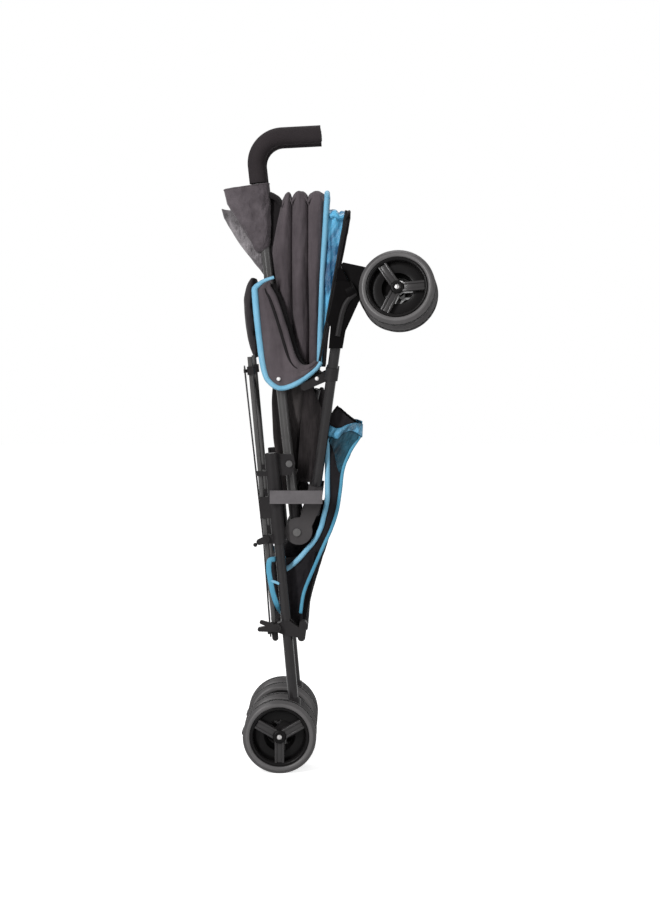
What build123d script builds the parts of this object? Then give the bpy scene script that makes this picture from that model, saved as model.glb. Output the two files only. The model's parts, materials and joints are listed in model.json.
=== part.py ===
from build123d import *
import os
from math import sin, cos, tan, atan2, acos, asin, sqrt, hypot, radians, degrees

os.makedirs("parts", exist_ok=True)

# The stroller stands folded on its rear wheels: x is its front, y its width, z up, all in mm
# Tubes
tube_d = 17.0
tube_wall = 1.5
front_tube_d = 17.5
rail_d = 8.0

# Planes of the right-hand frame, measured out from the middle
rear_y = 82.0
hinge_y = 58.0
handle_top_y = 34.0
caster_y = 100.0

# Rear leg, its wheels and the rail behind it
rear_wheel_d = 123.0
rear_tyre_w = 26.0
rear_wheel_offset = 30.0
axle_trail = 27.5
rear_lean = 5.1
rail_gap = 21.0
leg_bottom_z = 86.0
column_low_z = 382.0
column_top_z = 533.0
rail_over = 23.0

# Fold hinges
hinge_x = 28.3
hinge_z = 399.3
handle_lean = 6.3
pivot_rise = 115.6
boss_r = 20.0
boss_w = 23.0

# Handle and its foam grip
corner_z = 1060.0
grip_reach = 113.0
grip_slope = 3.0
grip_d = 30.0
grip_bend_r = 45.0
grip_drop = 76.0

# Front leg and caster
front_foot_dx = 25.7
front_foot_dz = 29.4
front_lean = 7.94
front_top_z = 745.0
front_wheel_d = 126.0
front_tyre_w = 22.0
front_wheel_offset = 20.0
swivel_slope = 28.0
swivel_drop = 65.0
caster_trail = 36.0
swivel_x = 124.0
swivel_z = 802.0
swivel_turn = 16.5

# Pins, holes and gaps
axle_d = 8.0
hinge_pin_d = 8.0
small_pin_d = 6.0
stem_d = 12.0
running_gap = 0.05
side_gap = 0.5
wheel_gap = 2.0
cloth_gap = 0.3

# Fold movement
spread = 190.0
handle_turn = 41.0
front_turn = 150.0
seat_turn = 99.0
basket_turn = 56.0
canopy_turn = 95.0

# Cross bars behind the rear legs
brace_len = 470.0
brace_w = 14.0
brace_t = 2.2
brace_low_z = 232.0

rear_axle_z = rear_wheel_d / 2
pivot_z = hinge_z + pivot_rise
grip_low_z = corner_z - grip_drop


def rear_x(z):
    return axle_trail - (z - rear_axle_z) * tan(radians(rear_lean))


def rail_x(z):
    return rear_x(z) - rail_gap


def handle_x(z):
    return hinge_x - (z - hinge_z) * tan(radians(handle_lean))


def handle_y(z):
    return hinge_y - (hinge_y - handle_top_y) * (z - hinge_z) / (corner_z - hinge_z)


def handle_at(z):
    return Vector(handle_x(z), -handle_y(z), z)


def rear_at(z):
    return Vector(rear_x(z), -rear_y, z)


def rail_at(z):
    return Vector(rail_x(z), -rear_y, z)


front_foot_z = hinge_z + front_foot_dz
front_foot_x = hinge_x + front_foot_dx


def front_at(z):
    share = (z - front_foot_z) / (front_top_z - front_foot_z)
    x = front_foot_x + (z - front_foot_z) * tan(radians(front_lean))
    return Vector(x, -hinge_y - (caster_y - hinge_y) * share, z)


def rod(start, end, d):
    along = Vector(*end) - Vector(*start)
    return Solid.make_cylinder(d / 2, along.length, Plane(origin=start, z_dir=along))


def pipe(start, end, d, wall):
    return rod(start, end, d) - rod(start, end, d - 2 * wall)


def cross_pin(x, z, d, y_low, y_high):
    return rod((x, y_low, z), (x, y_high, z), d)


def side_plane(y):
    return Plane(origin=(0, y, 0), x_dir=(1, 0, 0), z_dir=(0, -1, 0))


def slab(face, y_low, y_high):
    return extrude(side_plane(y_high) * face, amount=y_high - y_low)


def outline(points):
    return make_face(Polyline(*points, close=True))


def disc(x, z, r):
    return Pos(x, z) * Circle(r)


def link(x0, z0, r0, x1, z1, r1):
    length = hypot(x1 - x0, z1 - z0)
    base = atan2(z1 - z0, x1 - x0)
    spread_angle = acos((r0 - r1) / length)
    corners = []
    for x, z, r, side in ((x0, z0, r0, 1), (x1, z1, r1, 1), (x1, z1, r1, -1), (x0, z0, r0, -1)):
        angle = base + side * spread_angle
        corners.append((x + r * cos(angle), z + r * sin(angle)))
    return outline(corners) + disc(x0, z0, r0) + disc(x1, z1, r1)


def cushion(sections, x0, z0, half_y):
    rings = []
    for rise, x, half_x, width in sections:
        ring = RectangleRounded(2 * half_x, 2 * half_y * width, half_x * 0.9)
        rings.append(Pos(x0 + x, 0, z0 + rise) * ring)
    return loft(rings)


def solids_of(*shapes):
    found = []
    for shape in shapes:
        found.extend(shape.solids())
    return Compound(found) if len(found) > 1 else found[0]


def wheel_tyre(d, width):
    r = d / 2
    depth = 12.0
    half = width / 2
    section = Polyline(
        (r - depth, -half + 2), (r - 3.5, -half), (r - 1, -half + 3.5), (r, -3),
        (r, 3), (r - 1, half - 3.5), (r - 3.5, half), (r - depth, half - 2), close=True,
    )
    return revolve(Plane.XY * make_face(section), axis=Axis.Y)


def wheel_rim(d, width, first_spoke):
    r = d / 2 - 12.0
    half = width / 2
    ring = Polyline(
        (r - 6, -half + 4), (r - 2, -half + 2), (r, -half + 2),
        (r, half - 2), (r - 2, half - 2), (r - 6, half - 4), close=True,
    )
    rim = revolve(Plane.XY * make_face(ring), axis=Axis.Y)
    hub = Solid.make_cylinder(11, width - 2, Plane(origin=(0, -half + 1, 0), z_dir=(0, 1, 0)))
    rim = rim + hub
    for turn in (first_spoke, first_spoke + 120, first_spoke + 240):
        for shift in (-8, 8):
            spoke = Pos(r / 2, 0, shift) * Box(r - 5, width - 10, 5)
            rim = rim + Rot(0, -turn, 0) * spoke
    bore = Solid.make_cylinder(axle_d / 2, width, Plane(origin=(0, -half, 0), z_dir=(0, 1, 0)))
    return rim - bore


parts = {}


def both_sides(name, shape):
    parts[name + "_right"] = shape
    parts[name + "_left"] = mirror(shape, Plane.XZ)


# Cross bars lie in two layers behind the rail; what holds the rail ends just in front of them
layer_one = rail_d / 2 + 2.2
layer_two = layer_one + brace_t + 0.4
holder_back = layer_one - 0.9

# Rise of the cross bars' upper ends above the lower ones, folded and opened out
closed_gap = 2 * rear_y
open_gap = closed_gap + spread
closed_angle = degrees(asin(closed_gap / brace_len))
open_angle = degrees(asin(open_gap / brace_len))
closed_rise = brace_len * cos(radians(closed_angle))
open_rise = brace_len * cos(radians(open_angle))

# Rear leg tube, the plastic head it stands in, and the rail behind it
rear_leg = pipe(rear_at(leg_bottom_z), rear_at(column_top_z - 6), tube_d, tube_wall)
rail_low_z = brace_low_z - 10
rail_top_z = brace_low_z + closed_rise * cos(radians(rear_lean)) + rail_over
rail = rod(rail_at(rail_low_z), rail_at(rail_top_z), rail_d)
both_sides("rear_leg", rear_leg)
both_sides("guide_rail", rail)

leg_core = rod(rear_at(leg_bottom_z), rear_at(column_top_z - 6), tube_d)
pivot_x = handle_x(pivot_z)
pivot_y = handle_y(pivot_z)
plate_out = rear_y - 2
plate_in = rear_y - 10
spacer_in = pivot_y + tube_d / 2 + 1.0
column = rod(rear_at(column_low_z), rear_at(column_top_z), tube_d + 6)
head_face = outline([
    (rear_x(column_top_z) - 8, column_top_z), (pivot_x + 7, column_top_z - 3),
    (pivot_x + 10, pivot_z), (pivot_x + 5, pivot_z - 19), (rear_x(pivot_z) - 6, pivot_z - 21),
])
connector = column + slab(head_face, -plate_out, -plate_in)
connector = connector + cross_pin(pivot_x, pivot_z, 18, -plate_in, -spacer_in)
connector = connector - leg_core
small_bore_d = small_pin_d + 2 * running_gap
connector = connector - cross_pin(pivot_x, pivot_z, small_bore_d, -plate_out - 1, -spacer_in + 1)
both_sides("rear_connector", connector)

# Clips tying the rail to the head; the lowest one carries the lock lever
lever_z = column_low_z + 7
lever_x = rail_x(lever_z)
lever_out = rear_y + 15
clips = []
for clip_z, clip_h in ((column_top_z - 34, 8), (column_low_z + 60, 36), (lever_z, 14)):
    clip_face = outline([
        (rail_x(clip_z) - holder_back, clip_z - clip_h / 2), (rear_x(clip_z), clip_z - clip_h / 2),
        (rear_x(clip_z), clip_z + clip_h / 2), (rail_x(clip_z) - holder_back, clip_z + clip_h / 2),
    ])
    clip = slab(clip_face, -rear_y - 7, -rear_y + 7) - rail
    clip = clip - rod(rear_at(column_low_z), rear_at(column_top_z), tube_d + 6)
    clips.append(clip)
clips[2] = clips[2] + cross_pin(lever_x, lever_z, small_pin_d, -lever_out, -rear_y - 6)
both_sides("rail_clips", solids_of(clips[0], clips[1], clips[2]))

# Bracket low on the rear leg: it holds the rail, the cross bar, the basket arm and the fold pedal
bracket_z = brace_low_z + 8
bracket_half = 10.0
basket_x = rear_x(brace_low_z) + 23
basket_z = brace_low_z - 8
basket_arm_y = rear_y - 14
basket_arm_d = 6.0
basket_eye_w = 7.0
pedal_x = rail_x(bracket_z) + 5
pedal_z = bracket_z + 1
pedal_out = rear_y + 22
leg_clasp_r = tube_d / 2 + 4
bracket_face = link(rail_x(bracket_z), bracket_z, holder_back, rear_x(bracket_z), bracket_z, leg_clasp_r)
bracket_face = bracket_face + link(rear_x(bracket_z), bracket_z, leg_clasp_r, basket_x, basket_z + 6, 7)
bracket_face = bracket_face + link(basket_x + 4, basket_z + 22, 6.5, basket_x + 1, basket_z, 6.5)
bracket = slab(bracket_face, -rear_y - bracket_half, -rear_y + bracket_half)
rail_foot = rail_at(rail_low_z)
bracket = bracket + rod(rail_foot, rail_at(bracket_z + 9), 2 * holder_back)
bracket = bracket + Pos(rail_foot) * Sphere(holder_back)
bracket = bracket - leg_core - rail
pin_from = -rear_y + bracket_half - 1
bracket = bracket + cross_pin(basket_x, basket_z, small_pin_d, pin_from, -basket_arm_y + 6)
back_dir = Vector(-cos(radians(rear_lean)), 0, -sin(radians(rear_lean)))
up_dir = Vector(-sin(radians(rear_lean)), 0, cos(radians(rear_lean)))
brace_right_pin = rail_at(brace_low_z)
stud_from = brace_right_pin + back_dir * (rail_d / 2 + 0.5)
stud_to = brace_right_pin + back_dir * (layer_two + brace_t + 1)
bracket_stud = rod(stud_from, stud_to, small_pin_d)
bracket = bracket + (bracket_stud - rail)
pedal_stud = cross_pin(pedal_x, pedal_z, small_pin_d, -pedal_out, -rear_y - bracket_half + 1)
parts["leg_bracket_right"] = bracket + pedal_stud
parts["leg_bracket_left"] = mirror(bracket, Plane.XZ)

# Fold pedal on the right bracket and lock lever on the right clip
pedal_tread = link(pedal_x, pedal_z, 6.5, pedal_x - 29, pedal_z - 2, 3.5)
pedal_fin = link(pedal_x - 6, pedal_z + 3, 4, pedal_x - 26, pedal_z + 10, 3)
pedal = slab(pedal_tread + pedal_fin, -pedal_out + 1, -rear_y - bracket_half - side_gap)
parts["fold_pedal"] = pedal - cross_pin(pedal_x, pedal_z, small_bore_d, -pedal_out, -rear_y)
lever_face = link(lever_x, lever_z, 6, lever_x - 11, lever_z - 4, 5)
lever = slab(lever_face, -lever_out + 1, -rear_y - 7 - side_gap)
ball_at = (lever_x - 18, -lever_out + 4.5, lever_z - 9)
lever = lever + Pos(*ball_at) * Sphere(3.5)
lever = lever + rod((lever_x - 11, -lever_out + 4.5, lever_z - 4), ball_at, 3)
parts["lock_lever"] = lever - cross_pin(lever_x, lever_z, small_bore_d, -lever_out, -rear_y)

# Foot of the rear leg with the axle hole and a lug for the brake
foot_half = rear_wheel_offset - rear_tyre_w / 2 - wheel_gap
brake_x = -20.0
brake_z = rear_axle_z + 15
lug_half = 4.0
foot_top_z = leg_bottom_z + 34
foot_face = link(0, rear_axle_z, 13, rear_x(leg_bottom_z), leg_bottom_z, 13)
foot = slab(foot_face, -rear_y - foot_half, -rear_y + foot_half)
foot = foot + rod(rear_at(leg_bottom_z - 6), rear_at(foot_top_z), tube_d + 6)
foot = foot + slab(link(0, rear_axle_z, 11, brake_x, brake_z, 7), -rear_y - lug_half, -rear_y + lug_half)
foot = foot - rod(rear_at(leg_bottom_z), rear_at(foot_top_z + 1), tube_d)
foot = foot - cross_pin(0, rear_axle_z, axle_d + 2 * running_gap, -rear_y - 30, -rear_y + 30)
foot = foot - cross_pin(brake_x, brake_z, small_bore_d, -rear_y - 30, -rear_y + 30)
both_sides("wheel_foot", foot)

# Brake pedal: two cheeks on a pin, joined by a tread that reaches just past the tyres
cheek = link(brake_x, brake_z, 7, -55, rear_axle_z + 4, 6)
tread = link(-40, rear_axle_z + 9, 6, -58, rear_axle_z + 2, 6)
pedal_half = foot_half - 1.0
brake = slab(cheek, -rear_y - pedal_half, -rear_y - lug_half - side_gap)
brake = brake + slab(cheek, -rear_y + lug_half + side_gap, -rear_y + pedal_half)
brake = brake + slab(tread, -rear_y - pedal_half, -rear_y + pedal_half)
brake = brake + cross_pin(brake_x, brake_z, small_pin_d, -rear_y - pedal_half, -rear_y + pedal_half)
both_sides("brake_pedal", brake)


def wheel_pair(d, width, offset, axle_reach, first_spoke):
    tyre = wheel_tyre(d, width)
    rim = wheel_rim(d, width, first_spoke)
    axle = Solid.make_cylinder(axle_d / 2, 2 * axle_reach, Plane(origin=(0, -axle_reach, 0), z_dir=(0, 1, 0)))
    tyres = [Pos(0, side * offset, 0) * tyre for side in (-1, 1)]
    rims = [Pos(0, side * offset, 0) * rim for side in (-1, 1)]
    return solids_of(*tyres), solids_of(axle, *rims)


# Rear wheels, two on each axle
rear_reach = rear_wheel_offset + rear_tyre_w / 2
rear_tyres, rear_rims = wheel_pair(rear_wheel_d, rear_tyre_w, rear_wheel_offset, rear_reach, 30)
both_sides("rear_tyres", Pos(0, -rear_y, rear_axle_z) * rear_tyres)
both_sides("rear_wheels", Pos(0, -rear_y, rear_axle_z) * rear_rims)

# Arm on the right head; behind its plain outer face an open jaw keeps the folded front leg
stud_z = front_foot_z + 32
stud_x = front_at(stud_z).X
stud_d = 8.0
arm_out = rear_y + 22
arm_in = rear_y + 15
jaw_skin = 2.2
arm_face = outline([
    (rear_x(stud_z) - 8, stud_z - 11), (stud_x + 13, stud_z - 11),
    (stud_x + 13, stud_z + 11), (rear_x(stud_z) - 8, stud_z + 11),
])
jaw = link(stud_x, stud_z, stud_d / 2 + 0.6, stud_x + 30, stud_z - 7, stud_d / 2 + 2.5)
arm = slab(arm_face, -arm_out, -arm_in) - slab(jaw, -arm_out + jaw_skin, -arm_in + 1)
arm_post = cross_pin(rear_x(stud_z), stud_z, 14, -arm_in, -rear_y)
arm_post = arm_post - rod(rear_at(column_low_z), rear_at(column_top_z), tube_d + 6)
parts["fold_clip"] = arm + arm_post

# Handle tube and grip
corner = handle_at(corner_z)
grip_dir = Vector(cos(radians(grip_slope)), 0, sin(radians(grip_slope)))
grip_end = corner + grip_dir * grip_reach
tube_start = handle_at(hinge_z + 13)
handle_path = FilletPolyline(tube_start, corner, grip_end - grip_dir * 5, radius=grip_bend_r)
grip_path = FilletPolyline(handle_at(grip_low_z), corner, grip_end, radius=grip_bend_r)


def swept(path, d):
    return sweep(Plane(origin=path @ 0, z_dir=path % 0) * Circle(d / 2), path=path)


handle_core = swept(handle_path, tube_d)
pivot_hole = cross_pin(pivot_x, pivot_z, small_pin_d, -pivot_y - 15, -pivot_y + 15)
handle_tube = handle_core - swept(handle_path, tube_d - 2 * tube_wall) - pivot_hole
both_sides("handle_tube", handle_tube)
both_sides("handle_grip", swept(grip_path, grip_d) - handle_core)

# Fittings on the handle tube: the hinge boss at its foot and the clamp, which carries the canopy stay
# on a pin and the wing of the seat back on a post
boss_out = hinge_y + boss_w / 2
boss_in = hinge_y - boss_w / 2
seat_pivot_z = hinge_z + 52
seat_pivot_x = handle_x(seat_pivot_z)
seat_rail_y = 35.5
seat_rail_d = 10.0
boss = cross_pin(hinge_x, hinge_z, 2 * boss_r, -boss_out, -boss_in)
boss = boss + rod(handle_at(hinge_z), handle_at(seat_pivot_z + 10), tube_d + 3)
boss = boss + cross_pin(seat_pivot_x, seat_pivot_z, hinge_pin_d, -hinge_y, -seat_rail_y + seat_rail_d / 2)
boss = boss - handle_core
boss = boss - cross_pin(hinge_x, hinge_z, hinge_pin_d, -boss_out - 1, -boss_in + 1)
clamp_z = hinge_z + 256
clamp_x = handle_x(clamp_z)
bow_pivot_x = clamp_x + 62
bow_pivot_z = clamp_z + 6
bow_y = handle_y(clamp_z) + 15.5
clamp = rod(handle_at(clamp_z - 12), handle_at(clamp_z + 12), tube_d + 8)
clamp_lug = link(clamp_x, clamp_z, 9, bow_pivot_x, bow_pivot_z, 8)
lug_in = handle_y(clamp_z) - 4
lug_out = handle_y(clamp_z) + 12
wing_t = 6.5
wing_y = bow_y + 3.3 + wing_t
wing_post_d = 9.0
clamp = clamp + slab(clamp_lug, -lug_out, -lug_in)
clamp = clamp - handle_core
clamp = clamp + cross_pin(bow_pivot_x, bow_pivot_z, small_pin_d, -bow_y - 2.5, -lug_out + 2)
clamp = clamp + cross_pin(clamp_x, clamp_z, wing_post_d, -wing_y + wing_t + cloth_gap, -lug_out + 2)
both_sides("handle_fittings", solids_of(boss, clamp))

# Steel pins carried by the handle: the rear leg turns on the upper one, the front leg on the lower one
knuckle_out = hinge_y + boss_w / 2 + side_gap + 5
knuckle_in = hinge_y - boss_w / 2 - side_gap - 5
upper_pin = cross_pin(pivot_x, pivot_z, small_pin_d, -plate_out - 0.5, -pivot_y + tube_d / 2 + 1)
upper_pin = upper_pin + cross_pin(pivot_x, pivot_z, 11, -plate_out - 3, -plate_out - 0.5)
lower_pin = cross_pin(hinge_x, hinge_z, hinge_pin_d, -knuckle_out - 0.5, -knuckle_in + 0.5)
lower_pin = lower_pin + cross_pin(hinge_x, hinge_z, 13, -knuckle_out - 2.5, -knuckle_out - 0.5)
lower_pin = lower_pin + cross_pin(hinge_x, hinge_z, 13, -knuckle_in + 0.5, -knuckle_in + 2.5)
both_sides("hinge_pins", solids_of(upper_pin, lower_pin))

# Front leg tube with its knuckle round the hinge boss
socket_len = 48.0
front_low = front_at(front_foot_z + 4)
front_high = front_at(front_top_z)
front_core = rod(front_low, front_high, front_tube_d)
both_sides("front_leg", pipe(front_low, front_high, front_tube_d, tube_wall))
knuckle_eye = front_at(front_foot_z + 20)
cheek_face = disc(hinge_x + 3, hinge_z + 2, boss_r + 3)
cheek_face = cheek_face + link(hinge_x + 13, hinge_z + 12, 12, knuckle_eye.X, knuckle_eye.Z, 13)
knuckle = slab(cheek_face, -knuckle_out, -knuckle_out + 5) + slab(cheek_face, -knuckle_in - 5, -knuckle_in)
knuckle = knuckle + rod(front_at(front_foot_z), front_at(front_foot_z + socket_len), front_tube_d + 8)
knuckle = knuckle + cross_pin(stud_x, stud_z, stud_d, -arm_out + jaw_skin + side_gap, -hinge_y - 8)
knuckle = knuckle - front_core
hinge_bore_d = hinge_pin_d + 2 * running_gap
knuckle = knuckle - cross_pin(hinge_x, hinge_z, hinge_bore_d, -knuckle_out - 1, -knuckle_in + 1)
both_sides("front_knuckle", knuckle)

# Bracket on the front leg that holds the front edge of the seat
seat_bracket_z = hinge_z + 266
bracket_at = front_at(seat_bracket_z)
seat_bracket = rod(front_at(seat_bracket_z - 10), front_at(seat_bracket_z + 10), front_tube_d + 5)
ear_face = link(bracket_at.X, seat_bracket_z, 8, bracket_at.X - 46, seat_bracket_z - 22, 6)
ear = slab(ear_face, bracket_at.Y + 6, bracket_at.Y + 12)
both_sides("seat_bracket", seat_bracket + ear - front_core)

# Caster socket on top of the front leg, with the bore of the swivel stem
swivel_dir = Vector(cos(radians(swivel_slope)), 0, sin(radians(swivel_slope)))
trail_dir = Vector(sin(radians(swivel_slope)), 0, -cos(radians(swivel_slope)))
swivel_at = Vector(swivel_x, -caster_y, swivel_z)
flange_r = 18.0
flange_low = swivel_at + trail_dir * flange_r
flange_top = swivel_at - trail_dir * flange_r
socket_low_z = front_top_z - 37
socket_low = front_at(socket_low_z)
socket_face = outline([
    (socket_low.X - 11, socket_low_z), (socket_low.X + 12, socket_low_z),
    (socket_low.X + 17, front_top_z - 8), (flange_low.X, flange_low.Z),
    (flange_top.X, flange_top.Z), (front_high.X - 2, flange_top.Z + 2),
    (front_high.X - 10, front_top_z + 40), (front_high.X - 18, front_top_z + 7),
    (front_high.X - 13, front_top_z - 1),
])
stem_len = 30.0
socket = slab(socket_face, -caster_y - 15, -caster_y + 15)
socket = socket + rod(swivel_at - swivel_dir * 12, swivel_at, 2 * flange_r)
stem_bore = rod(swivel_at - swivel_dir * (stem_len + 1), swivel_at + swivel_dir, stem_d + 2 * running_gap)
socket = socket - stem_bore - rod(front_low, front_high, front_tube_d)
both_sides("caster_socket", socket)

# Caster fork between its two wheels, drawn straight and then turned about the stem
front_axle = swivel_at + swivel_dir * swivel_drop + trail_dir * caster_trail
fork_half = front_wheel_offset - front_tyre_w / 2 - wheel_gap
crown_low = swivel_at + swivel_dir * side_gap
crown_top = swivel_at + swivel_dir * 4
fork = rod(crown_low, crown_top, 2 * flange_r) + rod(swivel_at - swivel_dir * stem_len, crown_top, stem_d)
fork_points = [
    crown_low + trail_dir * 15, crown_low - trail_dir * 50, swivel_at + swivel_dir * 7 - trail_dir * 51,
    swivel_at + swivel_dir * 33 - trail_dir * 28, swivel_at + swivel_dir * 50 - trail_dir * 10,
    front_axle + swivel_dir * 6, front_axle + trail_dir * 8,
]
fork_face = outline([(p.X, p.Z) for p in fork_points])
fork = fork + slab(fork_face, -caster_y - fork_half, -caster_y + fork_half)
fork = fork + cross_pin(front_axle.X, front_axle.Z, 24, -caster_y - fork_half, -caster_y + fork_half)
fork = fork - cross_pin(front_axle.X, front_axle.Z, axle_d + 2 * running_gap, -caster_y - 20, -caster_y + 20)
front_reach = front_wheel_offset + front_tyre_w / 2
front_tyres, front_rims = wheel_pair(front_wheel_d, front_tyre_w, front_wheel_offset, front_reach, 5)
wheel_place = Pos(front_axle.X, -caster_y, front_axle.Z)
swivel_axis = Axis(swivel_at, swivel_dir)
both_sides("caster_fork", fork.rotate(swivel_axis, -swivel_turn))
both_sides("front_tyres", (wheel_place * front_tyres).rotate(swivel_axis, -swivel_turn))
both_sides("front_wheels", (wheel_place * front_rims).rotate(swivel_axis, -swivel_turn))

# Seat side rails, folded up between handle and front leg
seat_tip_x = seat_pivot_x + 40
seat_tip_z = seat_pivot_z + 186
seat_from = (seat_pivot_x, -seat_rail_y, seat_pivot_z)
seat_to = (seat_tip_x, -seat_rail_y, seat_tip_z)
seat_eye = seat_rail_d / 2
seat_pin_out = seat_rail_y + seat_eye
seat_pin_in = seat_rail_y - seat_eye
seat_rail = rod(seat_from, seat_to, seat_rail_d)
seat_rail = seat_rail + cross_pin(seat_pivot_x, seat_pivot_z, 16, -seat_pin_out, -seat_pin_in)
seat_bore = cross_pin(seat_pivot_x, seat_pivot_z, hinge_bore_d, -seat_pin_out - 4, -seat_pin_in + 4)
both_sides("seat_rail", seat_rail - seat_bore)

# Basket arms on the leg brackets
basket_tip_x = basket_x + 27
basket_tip_z = basket_z + 142
basket_eye_out = basket_arm_y + basket_eye_w / 2
basket_eye_in = basket_arm_y - basket_eye_w / 2
basket_tip = (basket_tip_x, -basket_arm_y, basket_tip_z)
basket_arm = rod((basket_x, -basket_arm_y, basket_z), basket_tip, basket_arm_d)
basket_arm = basket_arm + cross_pin(basket_x, basket_z, 13, -basket_eye_out, -basket_eye_in)
basket_bore = cross_pin(basket_x, basket_z, small_bore_d, -basket_eye_out - 5, -basket_eye_in + 5)
both_sides("basket_arm", basket_arm - basket_bore)

# Canopy side stays
bow_tip_x = bow_pivot_x + 49
bow_tip_z = bow_pivot_z + 276
bow = rod((bow_pivot_x, -bow_y, bow_pivot_z), (bow_tip_x, -bow_y, bow_tip_z), 4.5)
bow = bow + cross_pin(bow_pivot_x, bow_pivot_z, 13, -bow_y - 2.25, -bow_y + 2.25)
bow_bore = cross_pin(bow_pivot_x, bow_pivot_z, small_bore_d, -bow_y - 9, -bow_y + 9)
both_sides("canopy_stay", bow - bow_bore)

# Cross bars: each turns on one leg bracket and its slotted end slides on the other side's collar
collar_from = brace_right_pin + up_dir * closed_rise
slot_run = 17.0
slot_d = small_pin_d + 3.0
collar_back = layer_one - 0.35


def brace(layer):
    flat = Pos(0, brace_len / 2) * SlotOverall(brace_len + brace_w + 2, brace_w + 2, rotation=90)
    slot_middle = Pos(0, brace_len - slot_run / 2 + 1)
    flat = flat + slot_middle * SlotCenterToCenter(slot_run, slot_d + 8, rotation=90)
    flat = flat - slot_middle * SlotCenterToCenter(slot_run, slot_d, rotation=90)
    flat = flat - Circle(small_pin_d / 2 + running_gap)
    place = Plane(origin=brace_right_pin + back_dir * layer, x_dir=(0, -1, 0), z_dir=back_dir)
    return extrude(place * (Rot(0, 0, closed_angle) * flat), amount=brace_t)


def collar(layer):
    low = collar_from - up_dir * 7
    high = collar_from + up_dir * 7
    ring = rod(low, high, rail_d + 6)
    face = outline([(0, -7.5), (collar_back, -7.5), (collar_back, 7.5), (0, 7.5)])
    block = extrude(Plane(origin=low, x_dir=back_dir, z_dir=up_dir) * face, amount=14)
    ring = ring + block - rod(low - up_dir, high + up_dir, rail_d + 2 * running_gap)
    back = rod(collar_from + back_dir * collar_back, collar_from + back_dir * 40, 60)
    ring = ring - back
    stud_low = collar_from + back_dir * (collar_back - 1)
    return ring + rod(stud_low, collar_from + back_dir * (layer + brace_t + 1), small_pin_d)


parts["cross_bar_a"] = brace(layer_one)
parts["cross_bar_b"] = mirror(brace(layer_two), Plane.XZ)
parts["rail_collar_right"] = collar(layer_two)
parts["rail_collar_left"] = mirror(collar(layer_one), Plane.XZ)

# Soft goods, in the shape they keep while folded
# Canopy: three upright folds and a front panel, given as height, middle, half depth and share of width
canopy_half = bow_y - 5
canopy_x = clamp_x + 19
canopy_low = clamp_z + 21
canopy_folds = [
    [(0, -1, 7, 0.85), (84, -8, 12, 0.97), (194, -16, 16.5, 1), (264, -10, 14, 0.98), (291, -5, 6, 0.88)],
    [(0, 15, 7, 0.85), (84, 14, 9.5, 0.97), (194, 13.5, 12.5, 1), (264, 14, 12.5, 0.98), (296, 14, 6, 0.88)],
    [(0, 31, 7, 0.85), (84, 35, 11, 0.97), (194, 40, 14, 1), (264, 42, 15, 0.98), (294, 43, 7, 0.88)],
    [(14, 43, 5, 0.81), (84, 52, 8, 0.93), (174, 68, 11, 0.97), (250, 80, 15, 0.95), (264, 83, 12, 0.9)],
]
canopy = cushion(canopy_folds[0], canopy_x, canopy_low, canopy_half)
for sections in canopy_folds[1:]:
    canopy = canopy + cushion(sections, canopy_x, canopy_low, canopy_half)
parts["canopy"] = canopy

# Battens of the roof, one behind its first fold and one along its front edge
batten_half = handle_top_y - tube_d / 2 - 3
batten_t = 5.2
batten_h = 26.0
rear_batten = Pos(canopy_x - 27, 0, canopy_low + 254) * Box(batten_t, 2 * batten_half, batten_h)
front_batten = Rot(0, 9, 0) * Box(batten_t, 2 * batten_half, batten_h)
front_batten = Pos(canopy_x + 94, 0, canopy_low + 238) * front_batten
rear_batten = (rear_batten - canopy).solids().sort_by(Axis.X)[0]
front_batten = (front_batten - canopy).solids().sort_by(Axis.X)[-1]
parts["roof_batten_rear"] = Pos(-cloth_gap, 0, 0) * rear_batten
parts["roof_batten_front"] = Pos(cloth_gap, 0, 0) * front_batten

# Seat back: a crowned back panel behind the handles, a wing outside each handle and the sling below,
# which hangs between the lugs of the two clamps
wing_points = [
    (-10.5, 170), (-40.8, 155), (-42.4, 131), (-37.4, 86), (-27.3, 12), (-12.2, -11.7), (6.3, -16.7),
    (34.8, -5), (60, 15), (68.4, 27), (53.3, 27), (33.2, 20), (18, 37), (8, 72), (-0.4, 114), (-7.2, 148),
]
wing_face = outline([(clamp_x + x, clamp_z + z) for x, z in wing_points])
wing = slab(wing_face, -wing_y, -wing_y + wing_t)
back_sections = [
    (37, -41, 5, 0.87), (62, -44, 8, 0.95), (95, -47, 10.5, 1),
    (135, -51, 11, 1), (159, -49, 9, 0.95), (171, -46, 5, 0.85),
]
back_panel = cushion(back_sections, clamp_x, clamp_z, wing_y - wing_t / 2)
back = back_panel + wing + mirror(wing, Plane.XZ)
sling_sections = [
    (-155, 26, 5, 0.6), (-120, 27, 7, 0.64), (-95, 27.5, 9.5, 0.66),
    (-65, 28, 12, 0.86), (-22, 29, 17, 0.99), (0, 28, 16, 1), (16, 27, 11, 0.95),
]
sling = cushion(sling_sections, clamp_x, clamp_z, lug_in - cloth_gap)
parts["seat_back"] = solids_of(back, sling)

# Seat pad folded up between the rails, fuller in its middle than at its ends
seat_half = seat_rail_y - seat_rail_d / 2 - cloth_gap
pad_sections = [
    (25, 17.5, 5, 0.82), (59, 20.5, 8.5, 0.97), (109, 28.5, 10.5, 1),
    (154, 39.5, 10, 0.97), (181, 45.5, 8, 0.9), (191, 47.5, 4, 0.78),
]
parts["seat_pad"] = cushion(pad_sections, seat_pivot_x, seat_pivot_z, seat_half)

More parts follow.
